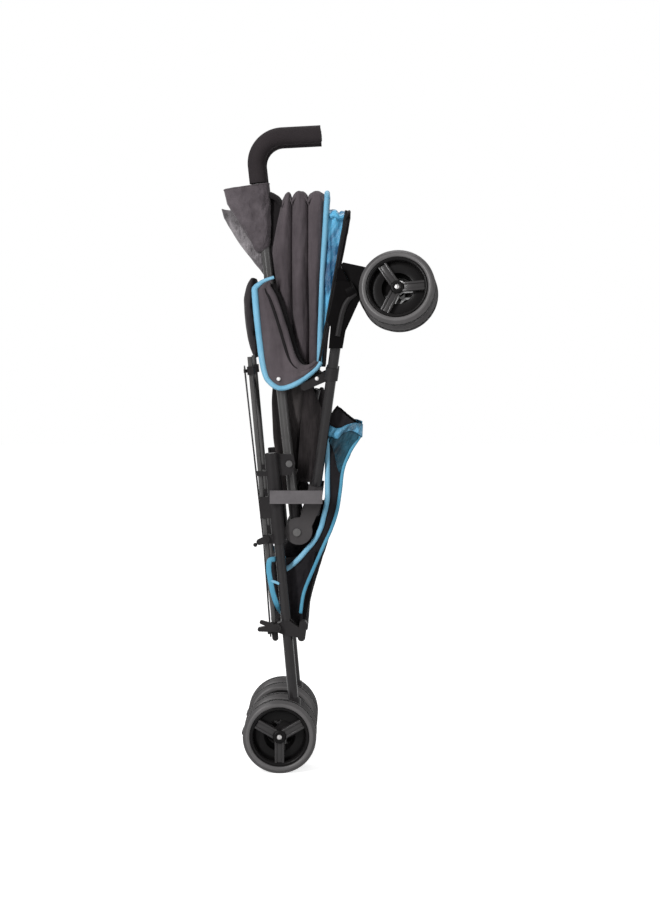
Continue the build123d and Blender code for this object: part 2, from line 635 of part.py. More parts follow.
# Basket folded flat about the legs: its front edge bows out, its back follows the front leg and the hinge
basket_half = basket_arm_y - basket_arm_d / 2 - cloth_gap
front_points = [
    (11, 8), (18, 60), (35, 110), (57, 187), (74, 279), (91, 313), (102, 350), (82, 366), (62, 383), (49, 366),
]
rear_points = [(-30, 126), (-55, 128), (-52, 103), (-47, 77), (-40, 55), (-27, 38), (-5, 16)]
basket_points = [(basket_x + x, basket_z + z) for x, z in front_points]
for rise, gap in ((141, 10), (91, 17), (49, 22), (20, 19)):
    basket_points.append((front_at(hinge_z + rise).X + gap, hinge_z + rise))
basket_points.append((hinge_x + boss_r + 16, hinge_z - 3))
basket_points.append((hinge_x + 7, hinge_z - boss_r - 24))
basket_points = basket_points + [(basket_x + x, basket_z + z) for x, z in rear_points]
parts["basket"] = slab(outline(basket_points), -basket_half, basket_half)

# Cloth pouch on the right handle
pouch_points = [
    (-50, -91), (-52, -127), (-30, -158), (-14, -183), (8, -208), (20, -230),
    (25, -220), (29, -180), (29, -122), (25, -84), (-3, -83),
]
pouch_face = outline([(corner.X + x, corner_z + z) for x, z in pouch_points])
pouch_half = 23.0
pouch_y = handle_y(corner_z - 136)
pouch = slab(pouch_face, -pouch_y - pouch_half, -pouch_y + pouch_half)
parts["handle_pouch"] = pouch - swept(handle_path, tube_d + 0.4)

# The origin goes under the middle of the whole part
whole = Compound([solid for shape in parts.values() for solid in shape.solids()]).bounding_box()
origin_shift = Vector(-(whole.min.X + whole.max.X) / 2, -(whole.min.Y + whole.max.Y) / 2, -whole.min.Z)
for name, shape in parts.items():
    export_step(Pos(origin_shift) * shape, f"parts/{name}.step")
print(len(parts), "nodes", whole, origin_shift)
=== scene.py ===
import json
from math import cos, pi, radians, sin, sqrt

import bmesh
import bpy
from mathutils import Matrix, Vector, noise


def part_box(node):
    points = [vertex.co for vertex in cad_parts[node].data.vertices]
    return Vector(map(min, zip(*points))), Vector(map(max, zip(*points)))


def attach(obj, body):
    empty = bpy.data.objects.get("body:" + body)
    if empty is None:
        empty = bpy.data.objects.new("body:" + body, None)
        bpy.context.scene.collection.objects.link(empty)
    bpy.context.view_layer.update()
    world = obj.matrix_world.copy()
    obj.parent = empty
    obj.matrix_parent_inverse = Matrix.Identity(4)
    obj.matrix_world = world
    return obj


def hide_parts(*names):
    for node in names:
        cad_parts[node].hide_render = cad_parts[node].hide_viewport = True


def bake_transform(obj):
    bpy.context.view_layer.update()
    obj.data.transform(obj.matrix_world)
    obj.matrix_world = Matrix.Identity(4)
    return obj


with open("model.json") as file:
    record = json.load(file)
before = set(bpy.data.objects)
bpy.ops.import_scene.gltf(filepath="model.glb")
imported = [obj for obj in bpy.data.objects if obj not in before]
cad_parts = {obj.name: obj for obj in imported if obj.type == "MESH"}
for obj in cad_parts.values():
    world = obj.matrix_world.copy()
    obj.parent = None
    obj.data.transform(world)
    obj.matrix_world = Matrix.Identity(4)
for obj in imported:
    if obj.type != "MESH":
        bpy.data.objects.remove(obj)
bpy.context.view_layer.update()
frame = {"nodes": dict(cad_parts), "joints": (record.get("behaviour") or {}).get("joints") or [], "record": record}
scene = bpy.context.scene
joints = {joint["name"]: joint for joint in frame["joints"]}
sides = (("right", -1), ("left", 1))
print("frame loaded")

# Places are in millimetres: x ahead of the rear axle, y to the left of the middle, z above the floor
tyreLow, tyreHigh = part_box("rear_tyres_right")
axleX = (tyreLow[0] + tyreHigh[0]) / 2


def at(x, y, z):
    return Vector((axleX + x / 1000, y / 1000, z / 1000))


# Shader helpers
def calc(tree, operation, *values):
    node = tree.nodes.new("ShaderNodeMath")
    node.operation = operation
    for socket, value in zip(node.inputs, values):
        if isinstance(value, (int, float)):
            socket.default_value = value
        else:
            tree.links.new(value, socket)
    return node.outputs[0]


def seesBackdrop(tree):
    path = tree.nodes.new("ShaderNodeLightPath")
    straight = calc(tree, "ADD", path.outputs["Is Camera Ray"], path.outputs["Is Glossy Ray"])
    return calc(tree, "MINIMUM", calc(tree, "ADD", straight, path.outputs["Is Transmission Ray"]), 1)


def noiseOf(tree, place, scale, detail, roughness=0.55):
    node = tree.nodes.new("ShaderNodeTexNoise")
    node.inputs["Scale"].default_value = scale
    node.inputs["Detail"].default_value = detail
    node.inputs["Roughness"].default_value = roughness
    tree.links.new(place, node.inputs["Vector"])
    return node.outputs[0]


def spread(tree, value, low, high):
    node = tree.nodes.new("ShaderNodeMapRange")
    node.inputs["To Min"].default_value = low
    node.inputs["To Max"].default_value = high
    tree.links.new(value, node.inputs["Value"])
    return node.outputs["Result"]


def blendColour(tree, factor, low, high):
    node = tree.nodes.new("ShaderNodeMix")
    node.data_type = "RGBA"
    tree.links.new(factor, node.inputs["Factor"])
    for socket, value in zip((node.inputs["A"], node.inputs["B"]), (low, high)):
        if isinstance(value, tuple):
            socket.default_value = (*value, 1)
        else:
            tree.links.new(value, socket)
    return node.outputs["Result"]


# Camera and lights
view = {"eye": (108.4, -3584.1, 755.1), "down": 3.545, "turn": 0.399, "lens": 84.04}
camera = bpy.data.objects.new("camera", bpy.data.cameras.new("camera"))
camera.location = at(*view["eye"])
camera.rotation_euler = (radians(90 - view["down"]), 0, radians(view["turn"]))
camera.data.lens = view["lens"]
camera.data.sensor_width = 36
scene.collection.objects.link(camera)
scene.camera = camera
scene.view_settings.view_transform = "Standard"

# Lights and floor, in metres from the middle of the object's foot
studio = {
    "sky": 0.12, "floor": 0.8, "floorHalf": 9, "glow": 0.74, "farGlow": 0.93,
    "lights": {
        "keyLight": {"place": (-1.6, -2.2, 1.8), "target": (0, 0, 0.55), "size": (0.3, 1.9), "power": 82},
        "fillLight": {"place": (2.2, -1.7, 1.2), "target": (0, 0, 0.5), "size": (0.3, 1.8), "power": 15},
        "topLight": {"place": (0.2, 0.9, 2.6), "target": (0, 0, 0.6), "size": (1.5, 1.5), "power": 26},
    },
}


def areaLight(name, place, target, size, power):
    light = bpy.data.lights.new(name, "AREA")
    light.shape = "RECTANGLE"
    light.size, light.size_y = size
    light.energy = power
    lamp = bpy.data.objects.new(name, light)
    lamp.location = place
    lamp.rotation_euler = (Vector(target) - Vector(place)).to_track_quat("-Z", "Y").to_euler()
    scene.collection.objects.link(lamp)


for name, light in studio["lights"].items():
    areaLight(name, **light)

sky = bpy.data.worlds.new("studioSky")
sky.use_nodes = True
backdrop = sky.node_tree.nodes["Background"]
backdrop.inputs["Color"].default_value = (1, 1, 1, 1)
skyStrength = spread(sky.node_tree, seesBackdrop(sky.node_tree), studio["sky"], 1.0)
sky.node_tree.links.new(skyStrength, backdrop.inputs["Strength"])
scene.world = sky
print("camera and light set")


# Shader groups shared by the materials
def newGroup(name, inputs, outputs):
    tree = bpy.data.node_groups.new(name, "ShaderNodeTree")
    for label, value in inputs.items():
        socket = tree.interface.new_socket(label, in_out="INPUT", socket_type="NodeSocketFloat")
        socket.default_value = value
    for label in outputs:
        tree.interface.new_socket(label, in_out="OUTPUT", socket_type="NodeSocketFloat")
    source = tree.nodes.new("NodeGroupInput")
    sink = tree.nodes.new("NodeGroupOutput")
    place = tree.nodes.new("ShaderNodeTexCoord").outputs["Object"]
    return tree, source.outputs, sink.inputs, place


def weaveGroup():
    tree, source, sink, place = newGroup("weave", {"Threads": 900.0}, ["Tone", "Height"])
    axes = tree.nodes.new("ShaderNodeSeparateXYZ")
    tree.links.new(place, axes.inputs[0])
    turns = calc(tree, "MULTIPLY", source["Threads"], 2 * pi)
    waves = [calc(tree, "SINE", calc(tree, "MULTIPLY", axes.outputs[i], turns)) for i in range(3)]
    pairs = [calc(tree, "MULTIPLY", waves[i], waves[(i + 1) % 3]) for i in range(3)]
    total = calc(tree, "ADD", calc(tree, "ADD", pairs[0], pairs[1]), pairs[2])
    height = calc(tree, "MULTIPLY_ADD", total, 0.33, 0.5)
    slub = calc(tree, "MULTIPLY", noiseOf(tree, place, 60, 3), 0.6)
    tree.links.new(height, sink["Height"])
    tree.links.new(calc(tree, "MULTIPLY_ADD", height, 0.4, slub), sink["Tone"])
    return tree


# Fold noise: Height bends the normals, and Tone, the same broad noise, is painted shade in the creases and painted
# highlight on the crests wherever it colours a cloth
def creaseGroup():
    values = {"Scale": 20.0, "Lean": 0.3, "Skew": 0.0}
    tree, source, sink, place = newGroup("crease", values, ["Tone", "Height"])
    axes = tree.nodes.new("ShaderNodeSeparateXYZ")
    tree.links.new(place, axes.inputs[0])
    skewed = calc(tree, "MULTIPLY_ADD", axes.outputs["Z"], source["Skew"], axes.outputs["X"])
    leaned = calc(tree, "MULTIPLY", axes.outputs["Z"], source["Lean"])
    scaled = tree.nodes.new("ShaderNodeCombineXYZ")
    for socket, value in zip(scaled.inputs, (skewed, axes.outputs["Y"], leaned)):
        tree.links.new(calc(tree, "MULTIPLY", value, source["Scale"]), socket)
    soft = noiseOf(tree, scaled.outputs[0], 1, 2)
    offset = calc(tree, "SUBTRACT", noiseOf(tree, scaled.outputs[0], 1.7, 2), 0.5)
    ridge = calc(tree, "SUBTRACT", 1, calc(tree, "MULTIPLY", calc(tree, "ABSOLUTE", offset), 3))
    tree.links.new(soft, sink["Tone"])
    tree.links.new(calc(tree, "MULTIPLY_ADD", ridge, 0.35, soft), sink["Height"])
    return tree


def grainGroup():
    tree, source, sink, place = newGroup("grain", {"Scale": 900.0}, ["Tone", "Height"])
    cells = tree.nodes.new("ShaderNodeTexVoronoi")
    tree.links.new(place, cells.inputs["Vector"])
    tree.links.new(source["Scale"], cells.inputs["Scale"])
    cloud = noiseOf(tree, place, 22, 5)
    tree.links.new(cells.outputs["Distance"], sink["Height"])
    tree.links.new(calc(tree, "MULTIPLY_ADD", cells.outputs["Distance"], 0.25, cloud), sink["Tone"])
    return tree


def wearGroup():
    tree, source, sink, place = newGroup("wear", {"Amount": 1.0}, ["Edge", "Dust"])
    surface = tree.nodes.new("ShaderNodeNewGeometry")
    edge = tree.nodes.new("ShaderNodeMapRange")
    edge.inputs["From Min"].default_value = 0.52
    edge.inputs["From Max"].default_value = 0.64
    tree.links.new(surface.outputs["Pointiness"], edge.inputs["Value"])
    spots = calc(tree, "MULTIPLY", noiseOf(tree, place, 70, 4), source["Amount"])
    tree.links.new(calc(tree, "MULTIPLY", edge.outputs[0], spots), sink["Edge"])
    facing = tree.nodes.new("ShaderNodeSeparateXYZ")
    tree.links.new(surface.outputs["Normal"], facing.inputs[0])
    upward = calc(tree, "MAXIMUM", facing.outputs["Z"], 0)
    dust = calc(tree, "MULTIPLY", upward, noiseOf(tree, place, 40, 6, 0.7))
    tree.links.new(calc(tree, "MULTIPLY", dust, source["Amount"]), sink["Dust"])
    return tree


weave = weaveGroup()
crease = creaseGroup()
grain = grainGroup()
wear = wearGroup()


def principled(name, constants):
    material = bpy.data.materials.new(name)
    material.use_nodes = True
    tree = material.node_tree
    shader = tree.nodes["Principled BSDF"]
    for label, value in constants.items():
        shader.inputs[label].default_value = value
    return material, tree, shader


def use(tree, group, **values):
    node = tree.nodes.new("ShaderNodeGroup")
    node.node_tree = group
    for label, value in values.items():
        node.inputs[label].default_value = value
    return node.outputs


def roughen(tree, shader, height, distance, strength, under=None):
    node = tree.nodes.new("ShaderNodeBump")
    node.inputs["Strength"].default_value = strength
    node.inputs["Distance"].default_value = distance
    tree.links.new(height, node.inputs["Height"])
    if under is not None:
        tree.links.new(under, node.inputs["Normal"])
    tree.links.new(node.outputs["Normal"], shader.inputs["Normal"])
    return node.outputs["Normal"]


# Hard materials: colours from dark to light, roughness from low to high, grain, rubbed edges, shine
hardLooks = {
    "frame_paint": {
        "dark": (0.007, 0.0064, 0.0068), "light": (0.019, 0.0175, 0.0185), "edge": (0.03, 0.028, 0.029),
        "rough": (0.14, 0.26), "grain": 1500, "depth": 0.00003, "wear": 0.5, "shine": 0.17,
    },
    "rail_paint": {
        "dark": (0.028, 0.027, 0.027), "light": (0.062, 0.060, 0.059), "edge": (0.09, 0.087, 0.087),
        "rough": (0.2, 0.32), "grain": 1500, "depth": 0.00003, "wear": 0.7, "shine": 0.22,
    },
    "plastic": {
        "dark": (0.007, 0.0063, 0.0066), "light": (0.021, 0.0192, 0.020), "edge": (0.03, 0.028, 0.029),
        "rough": (0.3, 0.46), "grain": 1100, "depth": 0.00012, "wear": 0.6, "shine": 0.1,
    },
    "mid_plastic": {
        "dark": (0.022, 0.020, 0.0207), "light": (0.050, 0.046, 0.0475), "edge": (0.07, 0.066, 0.067),
        "rough": (0.34, 0.5), "grain": 1100, "depth": 0.00012, "wear": 0.6, "shine": 0.12,
    },
    "pale_plastic": {
        "dark": (0.052, 0.047, 0.0505), "light": (0.098, 0.090, 0.0955), "edge": (0.18, 0.17, 0.175),
        "rough": (0.42, 0.6), "grain": 1100, "depth": 0.00012, "wear": 0.6, "shine": 0.16,
    },
    "deep_plastic": {
        "dark": (0.0014, 0.0012, 0.0013), "light": (0.005, 0.0044, 0.0047), "edge": (0.007, 0.0066, 0.0066),
        "rough": (0.2, 0.34), "grain": 1100, "depth": 0.00008, "wear": 0.6, "shine": 0.02,
    },
    "stay_plastic": {
        "dark": (0.004, 0.004, 0.0045), "light": (0.014, 0.0135, 0.014), "edge": (0.02, 0.02, 0.02),
        "rough": (0.4, 0.6), "grain": 1100, "depth": 0.0001, "wear": 0.5, "shine": 0.08,
    },
    "foam": {
        "dark": (0.012, 0.0095, 0.0105), "light": (0.030, 0.025, 0.027), "edge": (0.04, 0.036, 0.038),
        "rough": (0.82, 0.96), "grain": 620, "depth": 0.0003, "wear": 0.4, "shine": 0.12,
    },
    "tyre": {
        "dark": (0.032, 0.0305, 0.031), "light": (0.082, 0.078, 0.079), "edge": (0.2, 0.195, 0.195),
        "rough": (0.26, 0.4), "grain": 800, "depth": 0.00012, "wear": 0.9, "shine": 0.2,
    },
    # Lighter sidewall band: painted highlight on the rounded tyre wall
    "tyre_wall": {
        "dark": (0.05, 0.048, 0.0485), "light": (0.118, 0.113, 0.114), "edge": (0.2, 0.195, 0.195),
        "rough": (0.26, 0.4), "grain": 800, "depth": 0.00012, "wear": 0.9, "shine": 0.25,
    },
    # Near-black groove colour: painted shade in the tread grooves
    "groove": {
        "dark": (0.003, 0.0028, 0.003), "light": (0.010, 0.0093, 0.0097), "edge": (0.03, 0.03, 0.03),
        "rough": (0.5, 0.7), "grain": 800, "depth": 0.0001, "wear": 0.4, "shine": 0.08,
    },
    "rim": {
        "dark": (0.0018, 0.0016, 0.0017), "light": (0.007, 0.0064, 0.0067), "edge": (0.02, 0.019, 0.019),
        "rough": (0.18, 0.3), "grain": 1200, "depth": 0.00006, "wear": 0.8, "shine": 0.07,
    },
    # Spokes lighter than the rim: partly painted highlight on the spokes, partly their gloss
    "spoke": {
        "dark": (0.012, 0.0112, 0.0115), "light": (0.036, 0.0337, 0.0345), "edge": (0.024, 0.0225, 0.023),
        "rough": (0.16, 0.28), "grain": 1200, "depth": 0.00006, "wear": 0.9, "shine": 0.25,
    },
    "pin": {
        "dark": (0.03, 0.029, 0.029), "light": (0.065, 0.063, 0.063), "edge": (0.3, 0.29, 0.29),
        "rough": (0.26, 0.4), "grain": 1200, "depth": 0.00005, "wear": 0.5, "shine": 0.3,
    },
    "rivet": {
        "dark": (0.62, 0.60, 0.60), "light": (0.8, 0.78, 0.78), "edge": (0.9, 0.9, 0.9),
        "rough": (0.3, 0.45), "grain": 1200, "depth": 0.00005, "wear": 0.3, "shine": 0.5,
    },
}


def hardMaterial(name, look):
    material, tree, shader = principled(name, {"Specular IOR Level": look["shine"]})
    texture = use(tree, grain, Scale=float(look["grain"]))
    marks = use(tree, wear, Amount=look["wear"])
    colour = blendColour(tree, texture["Tone"], look["dark"], look["light"])
    colour = blendColour(tree, marks["Edge"], colour, look["edge"])
    colour = blendColour(tree, calc(tree, "MULTIPLY", marks["Dust"], 0.06), colour, (0.3, 0.29, 0.28))
    tree.links.new(colour, shader.inputs["Base Color"])
    tree.links.new(spread(tree, texture["Tone"], *look["rough"]), shader.inputs["Roughness"])
    roughen(tree, shader, texture["Height"], look["depth"], 0.6)
    return material


# Cloths: colours from dark to light, threads per metre, crease size, lean and depth, roughness, sheen; the broad
# fold noise spreads each colour span as painted highlight on fold crests and painted shade in the creases
clothLooks = {
    "cloth": {
        "dark": (0.040, 0.033, 0.0365), "light": (0.122, 0.103, 0.113), "contrast": 0.95,
        "threads": 950, "crease": 26, "lean": 0.22, "depth": 0.006,
        "rough": (0.78, 0.95), "sheen": 0.12, "shine": 0.1,
    },
    # back_cloth also serves as painted shade: the wing shadow sheets, the wing groove beads and the canopy gusset
    "back_cloth": {
        "dark": (0.005, 0.0044, 0.0048), "light": (0.020, 0.0175, 0.0188), "contrast": 0.85,
        "threads": 950, "crease": 30, "lean": 0.35, "depth": 0.004,
        "rough": (0.78, 0.95), "sheen": 0.05, "shine": 0.08,
    },
    "panel_cloth": {
        "dark": (0.014, 0.012, 0.013), "light": (0.046, 0.040, 0.043), "contrast": 1.1,
        "threads": 950, "crease": 30, "lean": 0.35, "depth": 0.006,
        "rough": (0.78, 0.95), "sheen": 0.08, "shine": 0.1,
    },
    "sling_cloth": {
        "dark": (0.020, 0.017, 0.0172), "light": (0.074, 0.066, 0.0655), "contrast": 1.3,
        "threads": 950, "crease": 30, "lean": 0.3, "depth": 0.008,
        "rough": (0.78, 0.95), "sheen": 0.08, "shine": 0.1,
    },
    "skirt_cloth": {
        "dark": (0.006, 0.005, 0.0052), "light": (0.034, 0.029, 0.0298), "contrast": 1.8,
        "threads": 950, "crease": 46, "lean": 0.2, "depth": 0.008,
        "rough": (0.7, 0.9), "sheen": 0.06, "shine": 0.1,
    },
    "basket_cloth": {
        "dark": (0.004, 0.0035, 0.0042), "light": (0.019, 0.0168, 0.0196), "contrast": 1.1,
        "threads": 1000, "crease": 30, "lean": 0.4, "depth": 0.008,
        "rough": (0.6, 0.85), "sheen": 0.05, "shine": 0.1,
    },
    "teal_cloth": {
        "dark": (0.001, 0.004, 0.008), "light": (0.014, 0.085, 0.13), "contrast": 1.8,
        "threads": 1400, "crease": 46, "lean": 0.5, "skew": -0.5, "depth": 0.012,
        "rough": (0.35, 0.55), "sheen": 0.05, "shine": 0.15,
    },
    "pouch_cloth": {
        "dark": (0.050, 0.042, 0.0465), "light": (0.124, 0.107, 0.117), "contrast": 1.3,
        "threads": 800, "crease": 34, "lean": 0.9, "depth": 0.008,
        "rough": (0.8, 0.96), "sheen": 0.12, "shine": 0.1,
    },
    # The pouch lining's high light end is painted highlight on its folds
    "pouch_lining": {
        "dark": (0.02, 0.0175, 0.019), "light": (0.26, 0.24, 0.252), "contrast": 1.5,
        "threads": 1200, "crease": 46, "lean": 0.8, "depth": 0.01,
        "rough": (0.4, 0.6), "sheen": 0.1, "shine": 0.25,
    },
    # The wide dark-to-light spans of satin and sash are painted highlight and painted shade on their crinkles
    "satin": {
        "dark": (0.001, 0.055, 0.15), "light": (0.13, 0.55, 0.86), "contrast": 1.9,
        "threads": 1600, "crease": 34, "lean": 0.3, "skew": -0.7, "depth": 0.006,
        "rough": (0.24, 0.4), "sheen": 0.05, "shine": 0.4,
    },
    "sash": {
        "dark": (0.001, 0.035, 0.065), "light": (0.13, 0.5, 0.8), "contrast": 2.3,
        "threads": 1600, "crease": 44, "lean": 0.5, "skew": -0.7, "depth": 0.008,
        "rough": (0.24, 0.4), "sheen": 0.05, "shine": 0.4,
    },
    "binding": {
        "dark": (0.10, 0.33, 0.50), "light": (0.25, 0.51, 0.68), "contrast": 0.85,
        "threads": 1100, "crease": 30, "lean": 0.3, "depth": 0.002,
        "rough": (0.45, 0.65), "sheen": 0.08, "shine": 0.3,
    },
    "deep_binding": {
        "dark": (0.03, 0.20, 0.33), "light": (0.11, 0.36, 0.51), "contrast": 0.85,
        "threads": 1100, "crease": 30, "lean": 0.3, "depth": 0.002,
        "rough": (0.45, 0.65), "sheen": 0.08, "shine": 0.3,
    },
}


def clothMaterial(name, look):
    constants = {"Sheen Weight": look["sheen"], "Sheen Roughness": 0.45}
    constants["Specular IOR Level"] = look["shine"]
    material, tree, shader = principled(name, constants)
    threads = use(tree, weave, Threads=float(look["threads"]))
    folds = use(tree, crease, Scale=float(look["crease"]), Lean=look["lean"], Skew=look.get("skew", 0.0))
    marks = use(tree, wear, Amount=0.6)
    # Fold tone in the colour is painted shade in the creases and painted highlight on the crests
    foldShade = calc(tree, "MULTIPLY", folds["Tone"], 0.65)
    weaveToneAndFoldShade = calc(tree, "MULTIPLY_ADD", threads["Tone"], 0.35, foldShade)
    varied = spread(tree, weaveToneAndFoldShade, 0.5 - look["contrast"], 0.5 + look["contrast"])
    colour = blendColour(tree, varied, look["dark"], look["light"])
    colour = blendColour(tree, calc(tree, "MULTIPLY", marks["Dust"], 0.05), colour, (0.3, 0.29, 0.28))
    tree.links.new(colour, shader.inputs["Base Color"])
    tree.links.new(spread(tree, weaveToneAndFoldShade, *look["rough"]), shader.inputs["Roughness"])
    under = roughen(tree, shader, folds["Height"], look["depth"], 0.7)
    roughen(tree, shader, threads["Height"], 0.00025, 0.5, under)
    return material


def steelMaterial():
    material, tree, shader = principled("steel", {"Metallic": 1.0})
    texture = use(tree, grain, Scale=1500.0)
    colour = blendColour(tree, texture["Tone"], (0.22, 0.215, 0.215), (0.46, 0.45, 0.445))
    tree.links.new(colour, shader.inputs["Base Color"])
    tree.links.new(spread(tree, texture["Tone"], 0.22, 0.42), shader.inputs["Roughness"])
    roughen(tree, shader, texture["Height"], 0.00003, 0.4)
    return material


def floorMaterial():
    material, tree, shader = principled("floor", {"Roughness": 0.9, "Emission Strength": 1.0})
    texture = use(tree, grain, Scale=60.0)
    shade = studio["floor"]
    colour = blendColour(tree, texture["Tone"], (shade, shade, shade), (shade + 0.02,) * 3)
    place = tree.nodes.new("ShaderNodeTexCoord").outputs["Object"]
    away = tree.nodes.new("ShaderNodeVectorMath")
    away.operation = "LENGTH"
    tree.links.new(place, away.inputs[0])
    distance = calc(tree, "MULTIPLY_ADD", away.outputs["Value"], 0.4, -0.4)
    white = spread(tree, distance, studio["glow"], studio["farGlow"])
    seen = calc(tree, "MULTIPLY", seesBackdrop(tree), white)
    glow = blendColour(tree, seen, (0.0, 0.0, 0.0), (1.0, 1.0, 1.0))
    tree.links.new(colour, shader.inputs["Base Color"])
    tree.links.new(glow, shader.inputs["Emission Color"])
    return material


looks = {name: hardMaterial(name, look) for name, look in hardLooks.items()}
looks.update({name: clothMaterial(name, look) for name, look in clothLooks.items()})
looks["steel"] = steelMaterial()
looks["floor"] = floorMaterial()
print("materials made")


# Mesh helpers
def faceOutward(mesh):
    shape = bmesh.new()
    shape.from_mesh(mesh)
    bmesh.ops.recalc_face_normals(shape, faces=shape.faces)
    shape.to_mesh(mesh)
    shape.free()


def meshPiece(name, verts, faces, materials, slots=None):
    mesh = bpy.data.meshes.new(name)
    mesh.from_pydata([tuple(v) for v in verts], [], faces)
    for material in materials:
        mesh.materials.append(looks[material])
    if slots:
        mesh.polygons.foreach_set("material_index", slots)
    mesh.polygons.foreach_set("use_smooth", [True] * len(mesh.polygons))
    mesh.validate()
    faceOutward(mesh)
    piece = bpy.data.objects.new(name, mesh)
    scene.collection.objects.link(piece)
    return piece


def gridFaces(rows, columns, closeColumns=False, closeRows=False):
    faces = []
    for i in range(rows if closeRows else rows - 1):
        low = i * columns
        high = (i + 1) % rows * columns
        for j in range(columns if closeColumns else columns - 1):
            k = (j + 1) % columns
            faces.append((low + j, low + k, high + k, high + j))
    return faces


def tubeFaces(rings, around):
    ends = [tuple(reversed(range(around))), tuple(range((rings - 1) * around, rings * around))]
    return gridFaces(rings, around, closeColumns=True) + ends


# A row of the table at any key between its rows
def between(table, key):
    for (k0, *low), (k1, *high) in zip(table, table[1:]):
        if key <= k1:
            share = max(0, (key - k0) / (k1 - k0))
            return [a + (b - a) * share for a, b in zip(low, high)]
    return list(table[-1][1:])


# A smooth line through the points
def smoothLine(points, count):
    ends = [points[0], *points, points[-1]]
    path = []
    for i in range(count):
        where = i / (count - 1) * (len(points) - 1)
        k = min(int(where), len(points) - 2)
        t = where - k
        a, b, c, d = (Vector(p) for p in ends[k:k + 4])
        curved = (2 * a - 5 * b + 4 * c - d) * t ** 2 + (3 * b - a - 3 * c + d) * t ** 3
        path.append(b + 0.5 * ((c - a) * t + curved))
    return path


# A round or flattened bead along a line, in shares of its radius from end to end
def bead(name, points, radius, material, steps=40, flat=1.0, widths=(1, 1)):
    path = smoothLine(points, steps)
    shares = [(k / (len(widths) - 1), w) for k, w in enumerate(widths)]
    around = 10
    verts = []
    for i, here in enumerate(path):
        along = (path[min(i + 1, steps - 1)] - path[max(i - 1, 0)]).normalized()
        side = along.cross(Vector((0, 1, 0)))
        side = (side if side.length > 0.05 else along.cross(Vector((1, 0, 0)))).normalized()
        out = side.cross(along)
        wide = radius * between(shares, i / (steps - 1))[0]
        for k in range(around):
            angle = 2 * pi * k / around
            verts.append(at(*(here + side * cos(angle) * wide + out * sin(angle) * wide * flat)))
    return meshPiece(name, verts, tubeFaces(steps, around), [material])


def ripple(x, y, z, size):
    return noise.noise(Vector((x, y, z)) / size)


def addModifier(piece, kind, **values):
    modifier = piece.modifiers.new(kind.lower(), kind)
    for key, value in values.items():
        setattr(modifier, key, value)
    return piece


def bake(piece):
    shaped = piece.evaluated_get(bpy.context.evaluated_depsgraph_get())
    piece.data = bpy.data.meshes.new_from_object(shaped)
    piece.modifiers.clear()
    return piece


def thicken(piece, thickness):
    return bake(addModifier(piece, "SOLIDIFY", thickness=thickness / 1000, offset=0))


# Swells a pad by cloth pressure, each point by no more than the cap
def inflate(piece, pressure, cap, voxel=5):
    bake(addModifier(piece, "REMESH", mode="VOXEL", voxel_size=voxel / 1000))
    start = [v.co.copy() for v in piece.data.vertices]
    cloth = piece.modifiers.new("cloth", "CLOTH")
    cloth.settings.use_pressure = True
    cloth.settings.uniform_pressure_force = pressure
    cloth.settings.effector_weights.gravity = 0
    cloth.point_cache.frame_end = 20
    for step in range(1, 21):
        scene.frame_set(step)
    bake(piece)
    scene.frame_set(1)
    for vertex, origin in zip(piece.data.vertices, start):
        shift = vertex.co - origin
        vertex.co = origin + shift * min(1, cap / 1000 / max(shift.length, 1e-6))
    piece.data.polygons.foreach_set("use_smooth", [True] * len(piece.data.polygons))
    return piece


def cushion(name, sections, material, around=56, rings=40, channels=()):
    low, high = sections[0][0], sections[-1][0]
    verts = []
    for i in range(rings):
        z = low + (high - low) * (0.5 - 0.5 * cos(pi * i / (rings - 1)))
        x, halfX, halfY = between(sections, z)
        draw = sum(max(0, 1 - abs(z - line) / 7) ** 2 for line in channels)
        for k in range(around):
            angle = 2 * pi * k / around
            c, s = cos(angle), sin(angle)
            dx = halfX * (1 - 0.35 * draw) * abs(c) ** 0.6 * (1 if c > 0 else -1)
            dy = halfY * abs(s) ** 0.45 * (1 if s > 0 else -1)
            verts.append(at(x + dx, dy, z))
    return meshPiece(name, verts, tubeFaces(rings, around), [material])


def standsFor(node):
    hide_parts(node)


# Canopy: hoods of one lobed sheet each, nested as they lie folded
canopy = {
    "low": 676.3, "corner": 11, "groove": 15, "valley": 13, "sag": 5, "wrinkle": 1.3, "cloth": 0.7,
    "gusset": 0.12, "gussetDraw": 3, "gussetRise": 16, "wall": 0.6, "roof": 0.7, "end": 1.09,
    "lining": (0.75, 0.95), "binding": 4.6, "bindingLift": 3, "rim": 2.6, "rimLift": 0.5,
    "nest": {"right": 0, "left": 1.6, "middle": 3.2},
    "flat": {"right": (0.17, 0.46), "left": (0.17, 0.46), "middle": (0.18, 0.17)},
    "fanStart": (-13, 0, 870), "fanAlong": (250, 0, -56), "fanReach": 113,
}
# Heights above the low edge with the places of the rear edge, two grooves, binding, rim and front edge
canopyEdges = [
    (0, 13, 25, 48, 65, 70, 75), (67, 3, 21, 49, 67, 76, 81), (155, -8, 20, 47, 70, 92, 98),
    (195, -13, 20, 47, 73, 100, 107), (242, -4, 20, 47, 75.5, 108, 116), (294, 8, 20, 47, 78.5, 115, 122),
]
canopyHalf = [(0, 50), (84, 57), (194, 59), (264, 58), (300, 56)]
canopyTops = [(0, 291), (0.42, 295), (0.75, 293), (0.78, 262), (1, 260)]
canopyMarks = [0, 0.25, 0.5, *canopy["lining"], 1]
gussetEdge = [(0, 12), (67, 1), (150, -10), (175, -18), (195, -20), (294, -20)]
canopyBodies = {
    "right": (-1, 0, ("handle_right", "canopy_front_right")),
    "left": (1, 0, ("handle_left", "canopy_front_left")),
    "middle": (1, 0.62, ("roof_rear", "roof_front")),
}


